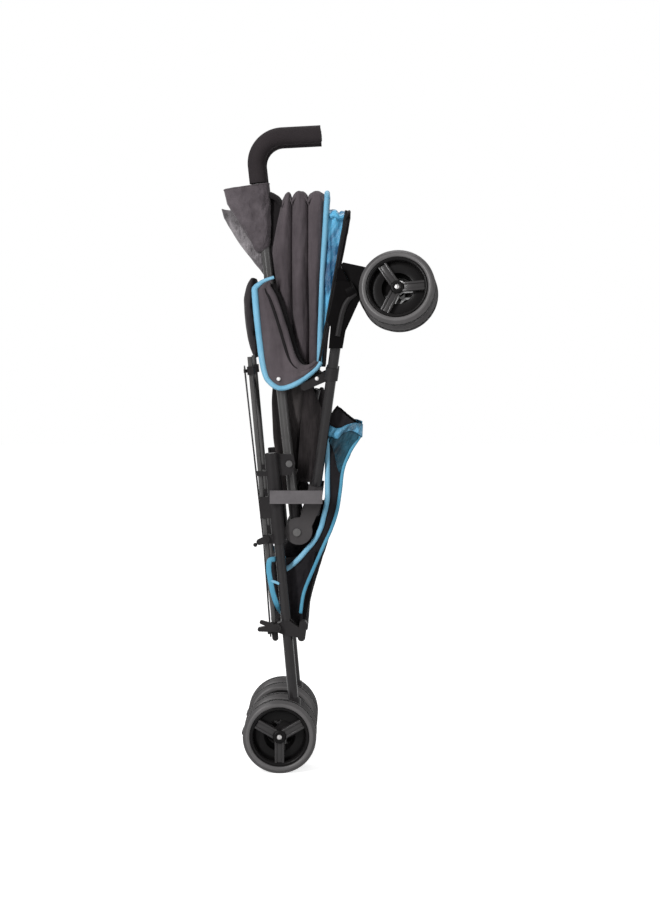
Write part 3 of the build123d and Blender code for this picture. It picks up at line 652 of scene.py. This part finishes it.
def lobe(u):
    for a, b in zip(canopyMarks, canopyMarks[1:]):
        if u <= b:
            return sqrt(max(0, sin(pi * (u - a) / (b - a)))) if b <= canopy["lining"][0] else 0.5
    return 0.5


def canopyX(u, rise):
    edges = between(canopyEdges, rise)
    if u < 0:
        return edges[0] - u / canopy["gusset"] * (between(gussetEdge, rise)[0] - edges[0])
    for k, (a, b) in enumerate(zip(canopyMarks, canopyMarks[1:])):
        if u <= b:
            return edges[k] + (edges[k + 1] - edges[k]) * (u - a) / (b - a)
    return edges[-1]


# u runs from the rear edge to the front one, v up the side wall, round the corner and across the roof
def canopyPoint(u, v, side, nest):
    corner, wall, roof = canopy["corner"], canopy["wall"], canopy["roof"]
    seam, hem = canopy["lining"]
    lining = seam < u < hem
    back = max(0, -u / canopy["gusset"])
    top = between(canopyTops, u)[0] - canopy["valley"] * (1 - lobe(u)) * (u < seam) - nest
    top += canopy["gussetRise"] * sin(back * pi / 2)
    rise = (top - corner) * min(v / wall, 1)
    straight = between(canopyHalf, rise)[0] - canopy["gussetDraw"] * back - nest
    half = straight - canopy["groove"] * (1 - lobe(u)) * (nest < canopy["nest"]["middle"])
    x = canopyX(u, rise if v < wall else top)
    y = half
    if wall < v <= roof:
        angle = (v - wall) / (roof - wall) * pi / 2
        y = half - corner + corner * cos(angle)
        rise = top - corner + corner * sin(angle)
    elif v > roof:
        across = min(1, (v - roof) / (1 - roof))
        turn = max(0, v - 1) / (roof - wall) * pi / 2
        y = (half - corner) * (1 - across) - (straight - corner) * across - corner * sin(turn)
        rise = top - canopy["sag"] * sin(pi * across) - corner * (1 - cos(turn))
    upright = v < (wall + roof) / 2
    folds = canopy["wrinkle"] * (3 if lining else 1)
    wave = ripple(x * 2.2, side * y, rise * 0.5 + x * (1.5 if lining else 0.2), 14) * folds
    wave += ripple(x, side * y + 50, rise * 0.25, 26) * folds
    return at(x, side * (y + wave * upright), canopy["low"] + rise + wave * (not upright))


def hood(name, side, nest, vFrom):
    wide, tall = 135, 52
    seam, hem = canopy["lining"]
    columns = [-canopy["gusset"] + (1 + canopy["gusset"]) * i / (wide - 1) for i in range(wide)]
    verts, slots = [], []
    for j in range(tall):
        v = vFrom + (canopy["end"] - vFrom) * j / (tall - 1)
        verts.extend(canopyPoint(u, v, side, nest) for u in columns)
    for j in range(tall - 1):
        for left, right in zip(columns, columns[1:]):
            u = (left + right) / 2
            # Slot 2 gives the gusset behind the rear edge the near-black back cloth as painted shade, and also
            # covers the band past the hem
            slots.append(2 if u < 0 or u > hem else 1 if u > seam else 0)
    piece = meshPiece(name, verts, gridFaces(tall, wide), ["cloth", "satin", "back_cloth"], slots)
    return thicken(piece, canopy["cloth"])


def fanOut(piece):
    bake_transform(piece)


def edgeLine(u, side, nest, vFrom, lift):
    points = []
    for v in (0, 0.12, 0.24, 0.36, 0.48, 0.58, 0.65, 0.72, 0.8, 0.9, 1, canopy["end"]):
        if v < vFrom:
            continue
        p = canopyPoint(u, v, side, nest)
        out = Vector((0, side * lift, 0)) if v < canopy["wall"] else Vector((0, 0, lift))
        points.append(Vector(((p.x - axleX) * 1000, p.y * 1000, p.z * 1000)) + out)
    return points


for place, (side, vFrom, bodies) in canopyBodies.items():
    nest = canopy["nest"][place]
    sheet = hood("canopyHood_" + place, side, nest, vFrom)
    bound = edgeLine(0.755, side, nest, vFrom, canopy["bindingLift"])
    binding = bead("canopyBinding_" + place, bound, canopy["binding"], "binding", 70)
    bowed = edgeLine(0.985, side, nest, vFrom, canopy["rimLift"])
    rim = bead("canopyRim_" + place, bowed, canopy["rim"], "back_cloth", 70)
    for piece in (sheet, binding, rim):
        fanOut(piece)
        standsFor("canopy")
print("canopy made")

# Seat back: a crowned panel behind the handles, a bound wing outside each handle, a sling between them
seatBack = {
    "panel": [(690, -40, 3, 58), (705, -42, 6, 65), (735, -46, 9, 69), (790, -51, 10, 69),
              (815, -48, 7, 65), (827, -44, 3, 58)],
    "sling": [(500, 26, 5, 26.6), (535, 27, 7, 28.4), (560, 27.5, 9.5, 29.3), (590, 28, 12, 38.2),
              (633, 29, 17, 44), (655, 28, 16, 44.4), (671, 27, 11, 42.2)],
    "channels": (735, 780), "pressure": 3, "cap": 5, "slingCap": 2,
    "outer": [(-9.3, 826), (-26, 820), (-40, 809), (-41, 795), (-36.2, 743), (-26.3, 670),
              (-11.3, 646.5), (7.1, 641.5), (35.5, 653), (60.6, 673), (68.9, 685)],
    "inner": [(-14, 818), (-17, 812), (-14, 803), (-8.4, 793), (2, 763), (11.5, 732),
              (20.7, 701), (29, 684), (40, 676), (52, 678), (62, 686)],
    "wingY": 70.7, "wingHalf": 3.4, "wrinkle": 0.9, "quilt": 2.2, "quiltTurns": 14,
    "binding": 4.6, "bindingOut": 1.5, "roll": 4.6, "rollOut": 0.6, "seam": 1.9, "seamOut": 2.9,
    "widths": (0.55, 0.7, 1.15, 1.2, 1.15, 1, 0.95, 0.95, 0.85, 0.75),
    "rollWidths": (0.5, 1, 1, 1.1, 1.1, 0.9, 0.6), "seamWidths": (0.3, 1.4, 1.4, 0.4),
    "lining": ((-5, 68), (4, 66.6), (11, 63)), "liningFlat": (0.02, 0.17),
    "fill": 0.5, "wingFill": 0.4, "stretchHalf": 40,
}


def backPiece(name, sections, material, cap, channels=()):
    piece = inflate(cushion(name, sections, material, channels=channels), seatBack["pressure"], cap)
    standsFor("seat_back")
    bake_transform(piece)


def wing(label, side):
    steps, around = 64, 20
    wingY = seatBack["wingY"]
    outer = smoothLine([(x, 0, z) for x, z in seatBack["outer"]], steps)
    inner = smoothLine([(x, 0, z) for x, z in seatBack["inner"]], steps)
    verts = []
    for i in range(steps):
        taper = min(1, 6 * (i + 0.6) / steps, 6 * (steps - i - 0.4) / steps)
        for k in range(around):
            angle = 2 * pi * k / around
            across = 0.5 - 0.5 * cos(angle)
            crown = abs(sin(angle))
            p = outer[i].lerp(inner[i], across)
            puff = seatBack["wingHalf"] * sqrt(taper) * crown ** 0.7 * (1 if angle < pi else -1)
            puff += seatBack["wrinkle"] * ripple(p.x * 1.6, 0, p.z * 0.6, 16) * crown
            puff += seatBack["quilt"] * cos(seatBack["quiltTurns"] * across) * crown * taper * (angle < pi)
            verts.append(at(p.x, side * (wingY + puff), p.z))
    pad = meshPiece("seatWing_" + label, verts, tubeFaces(steps, around), ["cloth"])
    edge = [(p.x, side * (wingY + seatBack["bindingOut"]), p.z) for p in outer[::3]]
    trim = bead("wingBinding_" + label, edge, seatBack["binding"], "binding", 90, 0.8, seatBack["widths"])
    rolled = [(p.x - 1, side * (wingY + seatBack["rollOut"]), p.z) for p in inner[3::4]]
    roll = bead("wingRoll_" + label, rolled, seatBack["roll"], "cloth", 80, 0.9, seatBack["rollWidths"])
    # Near-black bead along the wing: painted shade of a groove line
    grooveShadeLine = [(p.x - 8, side * (wingY + seatBack["seamOut"]), p.z - 3) for p in inner[7:50:3]]
    seam = bead("wingSeam_" + label, grooveShadeLine, seatBack["seam"], "back_cloth", 60, 1, seatBack["seamWidths"])
    # Near-black sheet along the wing's inner edge: painted shadow of the gap between wing and canopy
    lined = inner[3:50]
    verts = [at(p.x + d, side * y, p.z) for p in lined for d, y in seatBack["lining"]]
    faces = gridFaces(len(lined), len(seatBack["lining"]))
    lining = thicken(meshPiece("wingLining_" + label, verts, faces, ["back_cloth"]), 1)
    for piece in (pad, trim, roll, seam, lining):
        standsFor("seat_back")
        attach(piece, "handle_" + label)


backPiece("seatBackPanel", seatBack["panel"], "panel_cloth", seatBack["cap"], seatBack["channels"])
backPiece("seatSling", seatBack["sling"], "sling_cloth", seatBack["slingCap"])
for label, side in sides:
    wing(label, side)

# Side cloths of the sling, and valances along the seat rails
sideFabric = {"wrinkle": 0.9, "cloth": 1.2, "flat": (0.048, 0.22)}
seatSides = {
    "seatSideCloth_": {
        "back": [(-13, 648), (-15, 620), (-14, 585), (-12, 550), (-6, 520), (0, 495), (6, 455)],
        "front": [(30, 648), (30, 615), (29, 580), (28, 545), (26, 510), (27, 490), (46, 474), (48, 455)],
        "y": 27.4, "node": "seat_back", "body": "handle_", "tube": "handle_tube_", "look": "sling_cloth",
    },
    "seatValance_": {
        "back": [(41, 650), (39, 620), (35, 585), (32, 545), (29, 510), (27, 483)],
        "front": [(50, 650), (58, 634), (69, 606), (71, 580), (66, 545), (61, 510), (57, 481)],
        "y": 47.5, "node": "seat_pad", "body": "seat_side_", "tube": "seat_rail_", "look": "skirt_cloth",
    },
}


def sideCloth(name, cloth, label, side):
    wide, tall = 40, 60
    backLine = smoothLine([(x, 0, z) for x, z in cloth["back"]], tall)
    frontLine = smoothLine([(x, 0, z) for x, z in cloth["front"]], tall)
    verts = []
    for start, end in zip(backLine, frontLine):
        for k in range(wide):
            p = start.lerp(end, k / (wide - 1))
            y = cloth["y"] + sideFabric["wrinkle"] * ripple(p.x * 2, 0, p.z * 0.25, 16)
            verts.append(at(p.x, side * y, p.z))
    piece = meshPiece(name + label, verts, gridFaces(tall, wide), [cloth["look"]])
    thicken(piece, sideFabric["cloth"])
    standsFor(cloth["node"])
    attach(piece, cloth["body"] + label)


for name, cloth in seatSides.items():
    for label, side in sides:
        sideCloth(name, cloth, label, side)
print("seat back made")

# Seat pad, folded up between its rails
seatPad = {
    "sections": [(477, 40, 3.5, 25), (490, 41.5, 6, 28), (515, 43.5, 8, 29.2), (560, 51, 9.5, 29.6),
                 (605, 62, 9, 29.2), (630, 67.5, 7, 27.5), (641, 70, 3, 24)],
    "channels": (530, 585), "pressure": 3, "cap": 4, "fill": 0.5, "middle": 560, "stretchHalf": 22,
}
pad = cushion("seatPadCushion", seatPad["sections"], "back_cloth", channels=seatPad["channels"])
inflate(pad, seatPad["pressure"], seatPad["cap"])
standsFor("seat_pad")
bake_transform(pad)
print("seat pad made")

# Basket: a slack bag, drawn up into a peak in front of its arms, with a blue band round its mouth
basket = {
    "rows": [(28, 241, 46, 232), (6, 262, 50, 262), (-4, 279, 54, 284), (-11, 301, 60, 305),
             (-16, 327, 68, 328), (-19, 348, 73, 345), (5, 351, 80, 368), (35, 356, 86, 390),
             (64, 396, 92, 411), (72, 419, 97, 440), (79, 448, 102, 468), (79.6, 490, 109, 503),
             (79.6, 530, 122, 530), (80, 560, 136, 566)],
    "top": [(0, 84, 590), (0.15, 90, 600), (0.3, 97, 607), (0.6, 117, 590), (1, 137, 574)],
    "tealLow": [(82, 556), (91, 535), (97, 505), (103, 500), (113, 525), (124, 545), (135, 558)],
    "bandLow": [(68, 564), (78, 561), (87, 559), (97, 556), (105, 564), (116, 569), (127, 567),
                (138, 558)],
    "bandHigh": [(67, 571), (75, 575), (83, 578.5), (93, 574), (103, 575), (114, 580), (127, 583),
                 (139, 580)],
    "floor": 232, "slack": 15, "slackRise": 90, "ruffleFrom": 525, "mouthFrom": 560, "mouthDip": 6,
    "half": 64, "wrinkle": 1.8, "cloth": 1.0, "rounding": 9, "middle": 400, "stretchHalf": 42,
    "sashFold": 5, "sashY": 65.6, "bandY": 64.9, "turnFrom": 131, "turnBy": 1.6,
    "backLine": [(79, 556), (79.4, 515), (79.5, 480), (79, 452), (73.2, 425), (68.4, 406), (58, 385),
                 (45, 369), (30, 352), (16, 340), (6, 334)],
    "edgeLine": [(134, 560, 64.5), (117.5, 534, 64.5), (106, 505, 64.5), (101.5, 470, 64.5),
                 (96, 435, 64.8), (86, 404, 66), (73, 376, 69.5), (55, 335, 72), (40, 297, 72),
                 (34.5, 262, 71)],
    "fold": [(345, 18, 18, 26), (356, 25, 30, 31), (372, 34, 32, 32), (390, 45, 28, 32),
             (408, 54, 22, 30), (428, 62, 14, 26), (446, 68, 8, 18)],
    "binding": 4.3, "bindingOut": 0.3, "edge": 2.9, "fill": 0.1,
    "flat": (0.41, 0.38), "sashFlat": (0.02, 0.08), "bandFlat": (0.07, 0.08),
}


# Points round a square from -1 to 1, its corners rounded by the power
def squareLoop(count, power):
    loop = []
    for k in range(count):
        quarter, step = divmod(8 * k / count, 2)
        a, b = [(step - 1, -1), (1, step - 1), (1 - step, 1), (-1, 1 - step)][int(quarter)]
        length = (abs(a) ** power + abs(b) ** power) ** (1 / power)
        loop.append((a / length, b / length))
    return loop


def basketPoints(tall, around):
    loop = squareLoop(around, basket["rounding"])
    rows = [[] for _ in range(tall)]
    for a, b in loop:
        share = 0.5 + 0.5 * a
        line = []
        for backX, backZ, frontX, frontZ in basket["rows"]:
            line.append((backX + (frontX - backX) * share, 0, backZ + (frontZ - backZ) * share))
        topX, topZ = between(basket["top"], share)
        line.append((topX, 0, topZ))
        for row, p in zip(rows, smoothLine(line, tall)):
            y = basket["half"] * b
            middle = 1 - b * b
            full = min(1, (p.z - basket["floor"]) / basket["slackRise"])
            hang = middle * max(0, a) ** 3 * basket["slack"] * full
            fold = basket["wrinkle"] * ripple(p.x * 1.7, y * 0.6, p.z * 0.8, 24)
            ruffle = 1.9 if p.z > basket["ruffleFrom"] else 0.6
            fold += basket["wrinkle"] * ruffle * ripple(p.x * 2, y, p.z * 2, 17)
            outward = fold * 0.8 - basket["wrinkle"]
            dip = basket["mouthDip"] * middle * (p.z > basket["mouthFrom"])
            row.append((p.x - hang - abs(fold) * 0.5, y + outward * b ** 3, p.z - dip))
    return rows


def basketBag():
    tall, around = 90, 120
    rows = basketPoints(tall, around)
    verts = [at(*p) for row in rows for p in row]
    faces = tubeFaces(tall, around)[:-1]  # open at its mouth
    return thicken(meshPiece("basketBag", verts, faces, ["basket_cloth"]), basket["cloth"])


def sash(name, side, low, high, y, material):
    wide, tall = 60, 10
    lowLine = smoothLine([(x, 0, z) for x, z in basket[low]], wide)
    highLine = smoothLine([(x, 0, z) for x, z in basket[high]], wide)
    verts = []
    for j in range(tall):
        for start, end in zip(lowLine, highLine):
            p = start.lerp(end, j / (tall - 1))
            fold = basket["sashFold"] * ripple(p.x - p.z * 0.6, side * 9, p.z * 0.3, 11)
            turned = max(0, p.x - basket["turnFrom"]) * basket["turnBy"]
            verts.append(at(p.x, side * (y + abs(fold) * sin(pi * j / (tall - 1)) - turned), p.z))
    return thicken(meshPiece(name, verts, gridFaces(tall, wide), [material]), basket["cloth"])


bag = basketBag()
fold = cushion("basketFold", basket["fold"], "basket_cloth")
trims, bands = [], []
for label, side in sides:
    backTrim = [(x, side * (basket["half"] + basket["bindingOut"]), z) for x, z in basket["backLine"]]
    edgeTrim = [(x, side * y, z) for x, z, y in basket["edgeLine"]]
    trims.append(bead("basketBinding_" + label, backTrim, basket["binding"], "binding", 60, 0.7))
    trims.append(bead("basketEdge_" + label, edgeTrim, basket["edge"], "deep_binding", 60, 0.8))
    blue = sash("basketSash_" + label, side, "bandLow", "bandHigh", basket["sashY"], "sash")
    teal = sash("basketBand_" + label, side, "tealLow", "bandLow", basket["bandY"], "teal_cloth")
    bands += [blue, teal]
for piece in [bag, fold, *trims, *bands]:
    standsFor("basket")
    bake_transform(piece)
print("basket made")

# Blue straps beside the basket, from behind each rear leg round the guide rail and back
basketStrap = {
    "line": [(9, 66, 354), (-2, 71, 355), (-9, 84, 355), (-17, 87.9, 353), (-18.5, 88, 340),
             (-17, 88, 327), (-12, 87.9, 301), (-6, 85, 281), (0, 74, 267), (9, 66, 260)],
    "half": 4.4, "tab": [(-15, 88.5, 319), (-8, 88.3, 317), (-1, 88, 314)], "tabHalf": 2.4,
}
for label, side in sides:
    strapLine = [(x, side * y, z) for x, y, z in basketStrap["line"]]
    tabLine = [(x, side * y, z) for x, y, z in basketStrap["tab"]]
    tab = bead("basketTab_" + label, tabLine, basketStrap["tabHalf"], "binding", 12, 0.4)
    strap = bead("basketStrap_" + label, strapLine, basketStrap["half"], "deep_binding", 60, 0.3)
    for piece in (tab, strap):
        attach(piece, "rear_frame_" + label)

# Pouch on the right handle: a slack bag over a lining that hangs out of it
pouch = {
    "bag": [(869, -33, 4, 6), (874, -32, 11, 13), (884, -32, 15, 17), (895, -34.5, 18.5, 19.5),
            (914, -40, 24, 21.5), (926, -43.5, 27.5, 22), (940, -48, 32, 22.5), (955, -53, 36, 22.8),
            (977.5, -56, 37.5, 23)],
    "lining": [(829, -24, 2, 4), (840, -28.5, 7, 6), (853, -34, 13, 8), (878, -49, 18, 9),
               (903, -62, 21, 10), (922, -73, 22, 10), (938, -82, 16, 10)],
    "y": -40, "lean": -0.15, "flat": (0.2, 0.12), "liningY": -31, "liningLean": 0.2,
    "liningFlat": (0.13, 0.125), "wrinkle": 1.8, "cloth": 1.2, "hem": 1.3,
}


def bagShell(name, sections, material, lean, middleY, rings=34, around=64):
    low, high = sections[0][0], sections[-1][0]
    rows = []
    for i in range(rings):
        z = low + (high - low) * i / (rings - 1)
        x, halfX, halfY = between(sections, z)
        for k in range(around):
            angle = 2 * pi * k / around
            c, s = cos(angle), sin(angle)
            fold = pouch["wrinkle"] * ripple(x + c * halfX * 1.4, s * halfY * 1.4, z * 0.7 - c * 25, 15)
            dx = (halfX + fold) * abs(c) ** 0.8 * (1 if c > 0 else -1)
            dy = (halfY + fold) * abs(s) ** 0.7 * (1 if s > 0 else -1)
            rows.append((x + dx, middleY + dy, z - lean * dx + fold * 0.3))
    faces = tubeFaces(rings, around)[:-1]  # open at its mouth
    piece = meshPiece(name, [at(*p) for p in rows], faces, [material])
    return thicken(piece, pouch["cloth"]), rows[-around:]


lean, liningLean = pouch["lean"], pouch["liningLean"]
pouchBag, mouth = bagShell("pouchBag", pouch["bag"], "pouch_cloth", lean, pouch["y"])
pouchLining, _ = bagShell("pouchLining", pouch["lining"], "pouch_lining", liningLean, pouch["liningY"])
pouchHem = bead("pouchHem", mouth + mouth[:1], pouch["hem"], "pouch_cloth", 120)
for piece in (pouchBag, pouchLining, pouchHem):
    standsFor("handle_pouch")
    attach(piece, "handle_right")
print("pouch made")

# Wheels: ribbed tyres on dished rims with three twin-ribbed spokes
wheels = {
    "front": {"radius": 63, "half": 11, "offset": 20, "reach": 31, "spokes": (5, 125, 245),
              "grooves": [(6, 4), (2.8, 0.8)]},
    "rear": {"radius": 61.5, "half": 13, "offset": 30, "reach": 43, "spokes": (30, 150, 270),
             "grooves": [(7.8, 5), (3.4, 0.7)]},
}
# Outlines by radius and depth: the tyre, dish and web from the rim's radius, the rest from the axle
wheelForm = {
    "tyre": 12, "grooveDeep": 2.2, "around": 84,
    "tyreSide": [(0, 3.5), (0.6, 1.8), (2.2, 0.5), (4.5, 0), (6.8, 0.5), (8.6, 1.7), (9.6, 2.6),
                 (11, 3.4), (11.8, 4.2)],
    "dish": [(0, 2.5), (-1.5, 1.6), (-4, 2.2), (-6, 5)], "hub": [(4.2, 1.2), (9, 1.2), (11, 3)],
    "cap": [(0.01, 0.2), (3, 0.4), (4.4, 1.2), (4.4, 3)], "rod": [(3.9, 0.4), (4, 0.9)],
    "spokeFrom": 8, "spoke": (15, 6), "rib": (4, 4), "ribAt": 6,
}


def lathe(profile, centre, axis, segments, ring=False):
    side = axis.cross(Vector((0, 0, 1))).normalized()
    up = side.cross(axis)
    verts = []
    for radius, along in profile:
        for k in range(segments):
            angle = 2 * pi * k / segments
            spoke = side * cos(angle) + up * sin(angle)
            verts.append(centre + (axis * along + spoke * radius) / 1000)
    if ring:
        return verts, gridFaces(len(profile), segments, closeColumns=True, closeRows=True)
    return verts, tubeFaces(len(profile), segments)


def joinShapes(shapes):
    verts, faces = [], []
    for someVerts, someFaces in shapes:
        faces.extend(tuple(k + len(verts) for k in face) for face in someFaces)
        verts.extend(someVerts)
    return verts, faces


def spokeBlock(centre, axis, angle, reach, across, width, height):
    side = axis.cross(Vector((0, 0, 1))).normalized()
    up = side.cross(axis)
    along = side * cos(angle) + up * sin(angle)
    beside = up * cos(angle) - side * sin(angle)
    verts = []
    for r in reach:
        for b in (across - width / 2, across + width / 2):
            for h in (-height, height):
                verts.append(centre + (along * r + beside * b + axis * h) / 1000)
    return verts, [(0, 1, 3, 2), (4, 6, 7, 5), (0, 4, 5, 1), (2, 3, 7, 6), (0, 2, 6, 4), (1, 5, 7, 3)]


def tyreProfile(radius, half, grooves):
    inner = radius - wheelForm["tyre"]
    floor = radius - wheelForm["grooveDeep"]
    upper = [(inner + r, half - deep) for r, deep in wheelForm["tyreSide"]]
    for start, end in grooves:
        upper += [(radius, start + 0.4), (floor, start), (floor, end), (radius, end - 0.4)]
    return upper + [(r, -h) for r, h in reversed(upper)]


def bothSides(profile, half):
    near = [(r, half - deep) for r, deep in profile]
    return [(r, -along) for r, along in near] + near[::-1]


def treadSlots(tread, radius, half):
    inner = radius - wheelForm["tyre"]
    slots = []
    for (r0, h0), (r1, _) in zip(tread, tread[1:] + tread[:1]):
        # The band next to the rim takes the painted highlight colour
        wall = inner + 0.5 < min(r0, r1) and max(r0, r1) < inner + 7
        # Groove floors take the painted shade colour
        shadedGroove = abs(h0) < half - 5 and min(r0, r1) < radius - 2
        slots += [1 if shadedGroove else 2 if wall else 0] * wheelForm["around"]
    return slots


def wheelPair(kind, label):
    sizes = wheels[kind]
    joint = joints[f"{kind}_wheel_spin_{label}"]
    middle, axis = Vector(joint["pos_m"]), Vector(joint["axis"]).normalized()
    radius, half, around = sizes["radius"], sizes["half"], wheelForm["around"]
    inner = radius - wheelForm["tyre"]
    tread = tyreProfile(radius, half, sizes["grooves"])
    dish = bothSides([(inner + r, deep) for r, deep in wheelForm["dish"]], half)
    hub = bothSides(wheelForm["hub"], half)
    web = [(inner - 5, half - 5), (27, half - 7), (26, half - 8.5), (inner - 5, half - 8)]
    tyreShapes, rimShapes, spokeShapes, hubShapes = [], [], [], []
    for end in (-1, 1):
        centre = middle + axis * end * sizes["offset"] / 1000
        tyreShapes.append(lathe(tread, centre, axis, around, ring=True))
        rimShapes.append(lathe(dish, centre, axis, around, ring=True))
        rimShapes.append(lathe(hub, centre, axis, 40, ring=True))
        inside = [(r, -end * along) for r, along in web]
        rimShapes.append(lathe(inside, centre, axis, 60, ring=True))
        for spoke in sizes["spokes"]:
            angle, reach = radians(spoke), (wheelForm["spokeFrom"], inner - 5)
            wide, deep = wheelForm["spoke"]
            spokeShapes.append(spokeBlock(centre, axis, angle, reach, 0, wide, half - deep))
            wide, deep = wheelForm["rib"]
            for across in (-wheelForm["ribAt"], wheelForm["ribAt"]):
                spokeShapes.append(spokeBlock(centre, axis, angle, reach, across, wide, half - deep))
        cap = [(r, end * (half - deep)) for r, deep in wheelForm["cap"]]
        hubShapes.append(lathe(cap, centre, axis, 32))
    hubShapes.append(lathe(bothSides(wheelForm["rod"], sizes["reach"]), middle, axis, 32))
    slots = treadSlots(tread, radius, half) * 2
    tyreLooks = ["tyre", "groove", "tyre_wall"]
    tyres = meshPiece(f"{kind}Tyre_{label}", *joinShapes(tyreShapes), tyreLooks, slots)
    verts, faces = joinShapes(rimShapes + spokeShapes)
    spokeCount = sum(len(shape[1]) for shape in spokeShapes)
    # Spoke faces take the lighter painted highlight material
    rimSlots = [0] * (len(faces) - spokeCount) + [1] * spokeCount
    rims = meshPiece(f"{kind}Rim_{label}", verts, faces, ["rim", "spoke"], rimSlots)
    addModifier(rims, "BEVEL", width=0.0008, segments=2, limit_method="ANGLE", angle_limit=radians(40))
    bolts = meshPiece(f"{kind}Axle_{label}", *joinShapes(hubShapes), ["steel"])
    standsFor(f"{kind}_tyres_{label}")
    standsFor(f"{kind}_wheels_{label}")
    standsFor(f"{kind}_wheels_{label}")
    for piece in (tyres, rims, bolts):
        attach(piece, f"{kind}_wheelset_{label}")


for kind in wheels:
    for label, _ in sides:
        wheelPair(kind, label)
print("wheels made")

# Rivets on the seat wings and brackets
rivets = {
    "dome": [(3.4, 0), (3.4, 0.8), (2.6, 1.7), (1.2, 2.2), (0.01, 2.3)],
    "wing": ((-2, 74, 656.5), "handle_"), "bracket": ((62.3, 83.2, 657.5), "front_frame_"),
}
for label, side in sides:
    for name in ("wing", "bracket"):
        (x, y, z), body = rivets[name]
        dome = lathe(rivets["dome"], at(x, side * y, z), Vector((0, side, 0)), 24)
        rivet = meshPiece(f"{name}Rivet_{label}", *dome, ["rivet"])
        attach(rivet, body + label)

# Black covers over the caster sockets: a shield behind the fork's hood and a rib up the outside
socketCover = {
    "shield": [(93, 817), (115, 817.5), (108, 831), (100.6, 845), (94, 838)], "shieldY": (88, 112),
    "rib": [(97, 728), (101, 750), (106, 771), (114, 787), (128, 798)], "ribY": 115.5, "ribHalf": 4.6,
}
for label, side in sides:
    near, far = socketCover["shieldY"]
    count = len(socketCover["shield"])
    verts = [at(x, side * y, z) for y in (near, far) for x, z in socketCover["shield"]]
    faces = [tuple(range(count)), tuple(range(count, 2 * count))]
    faces += [(k, (k + 1) % count, (k + 1) % count + count, k + count) for k in range(count)]
    shield = meshPiece("socketShield_" + label, verts, faces, ["deep_plastic"])
    shield.data.polygons.foreach_set("use_smooth", [False] * len(faces))
    addModifier(shield, "BEVEL", width=0.002, segments=3, limit_method="ANGLE", angle_limit=radians(40))
    ribLine = [(x, side * socketCover["ribY"], z) for x, z in socketCover["rib"]]
    rib = bead("socketRib_" + label, ribLine, socketCover["ribHalf"], "plastic", 40, 0.6, (1, 1, 1, 0.7))
    for piece in (shield, rib):
        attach(piece, "front_frame_" + label)

# Plugs in the ends of the grips, by radius and the way past the grip's end
gripPlug = [(0.01, 1.2), (5, 1.2), (6.6, 0.6), (6.9, -1)]
for mount in frame["record"]["mounts"]:
    label = mount["name"].split("_")[1]
    length = mount["dims"]["length_mm"] / 2
    plug = [(r, length + past) for r, past in gripPlug]
    plugShape = lathe(plug, Vector(mount["pos_m"]), Vector(mount["axis"]), 40)
    endPlug = meshPiece("gripPlug_" + label, *plugShape, ["plastic"])
    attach(endPlug, "handle_" + label)
print("small parts made")

# Hard nodes keep their shape and take their slot's material, or one of their own
ownLooks = {
    "caster_socket": "deep_plastic", "caster_fork": "deep_plastic", "basket_arm": "deep_plastic",
    "fold_clip": "pale_plastic", "front_knuckle": "mid_plastic",
    # The handle tubes' lighter rail paint is partly painted light, for how strongly they are lit
    "guide_rail": "rail_paint", "handle_tube": "rail_paint", "hinge_pins": "pin",
}
slotOf = {part["node"]: part["material_slot"] for part in frame["record"]["subparts"]}
for node, body in frame["nodes"].items():
    kind = node.replace("_right", "").replace("_left", "")
    body.data.materials.clear()
    body.data.materials.append(looks[ownLooks.get(kind, slotOf[node])])

reach = studio["floorHalf"]
corners = [(-reach, -reach, 0), (reach, -reach, 0), (reach, reach, 0), (-reach, reach, 0)]
floorPlane = meshPiece("studioFloor", corners, [(0, 1, 2, 3)], ["floor"])

print("scene complete")
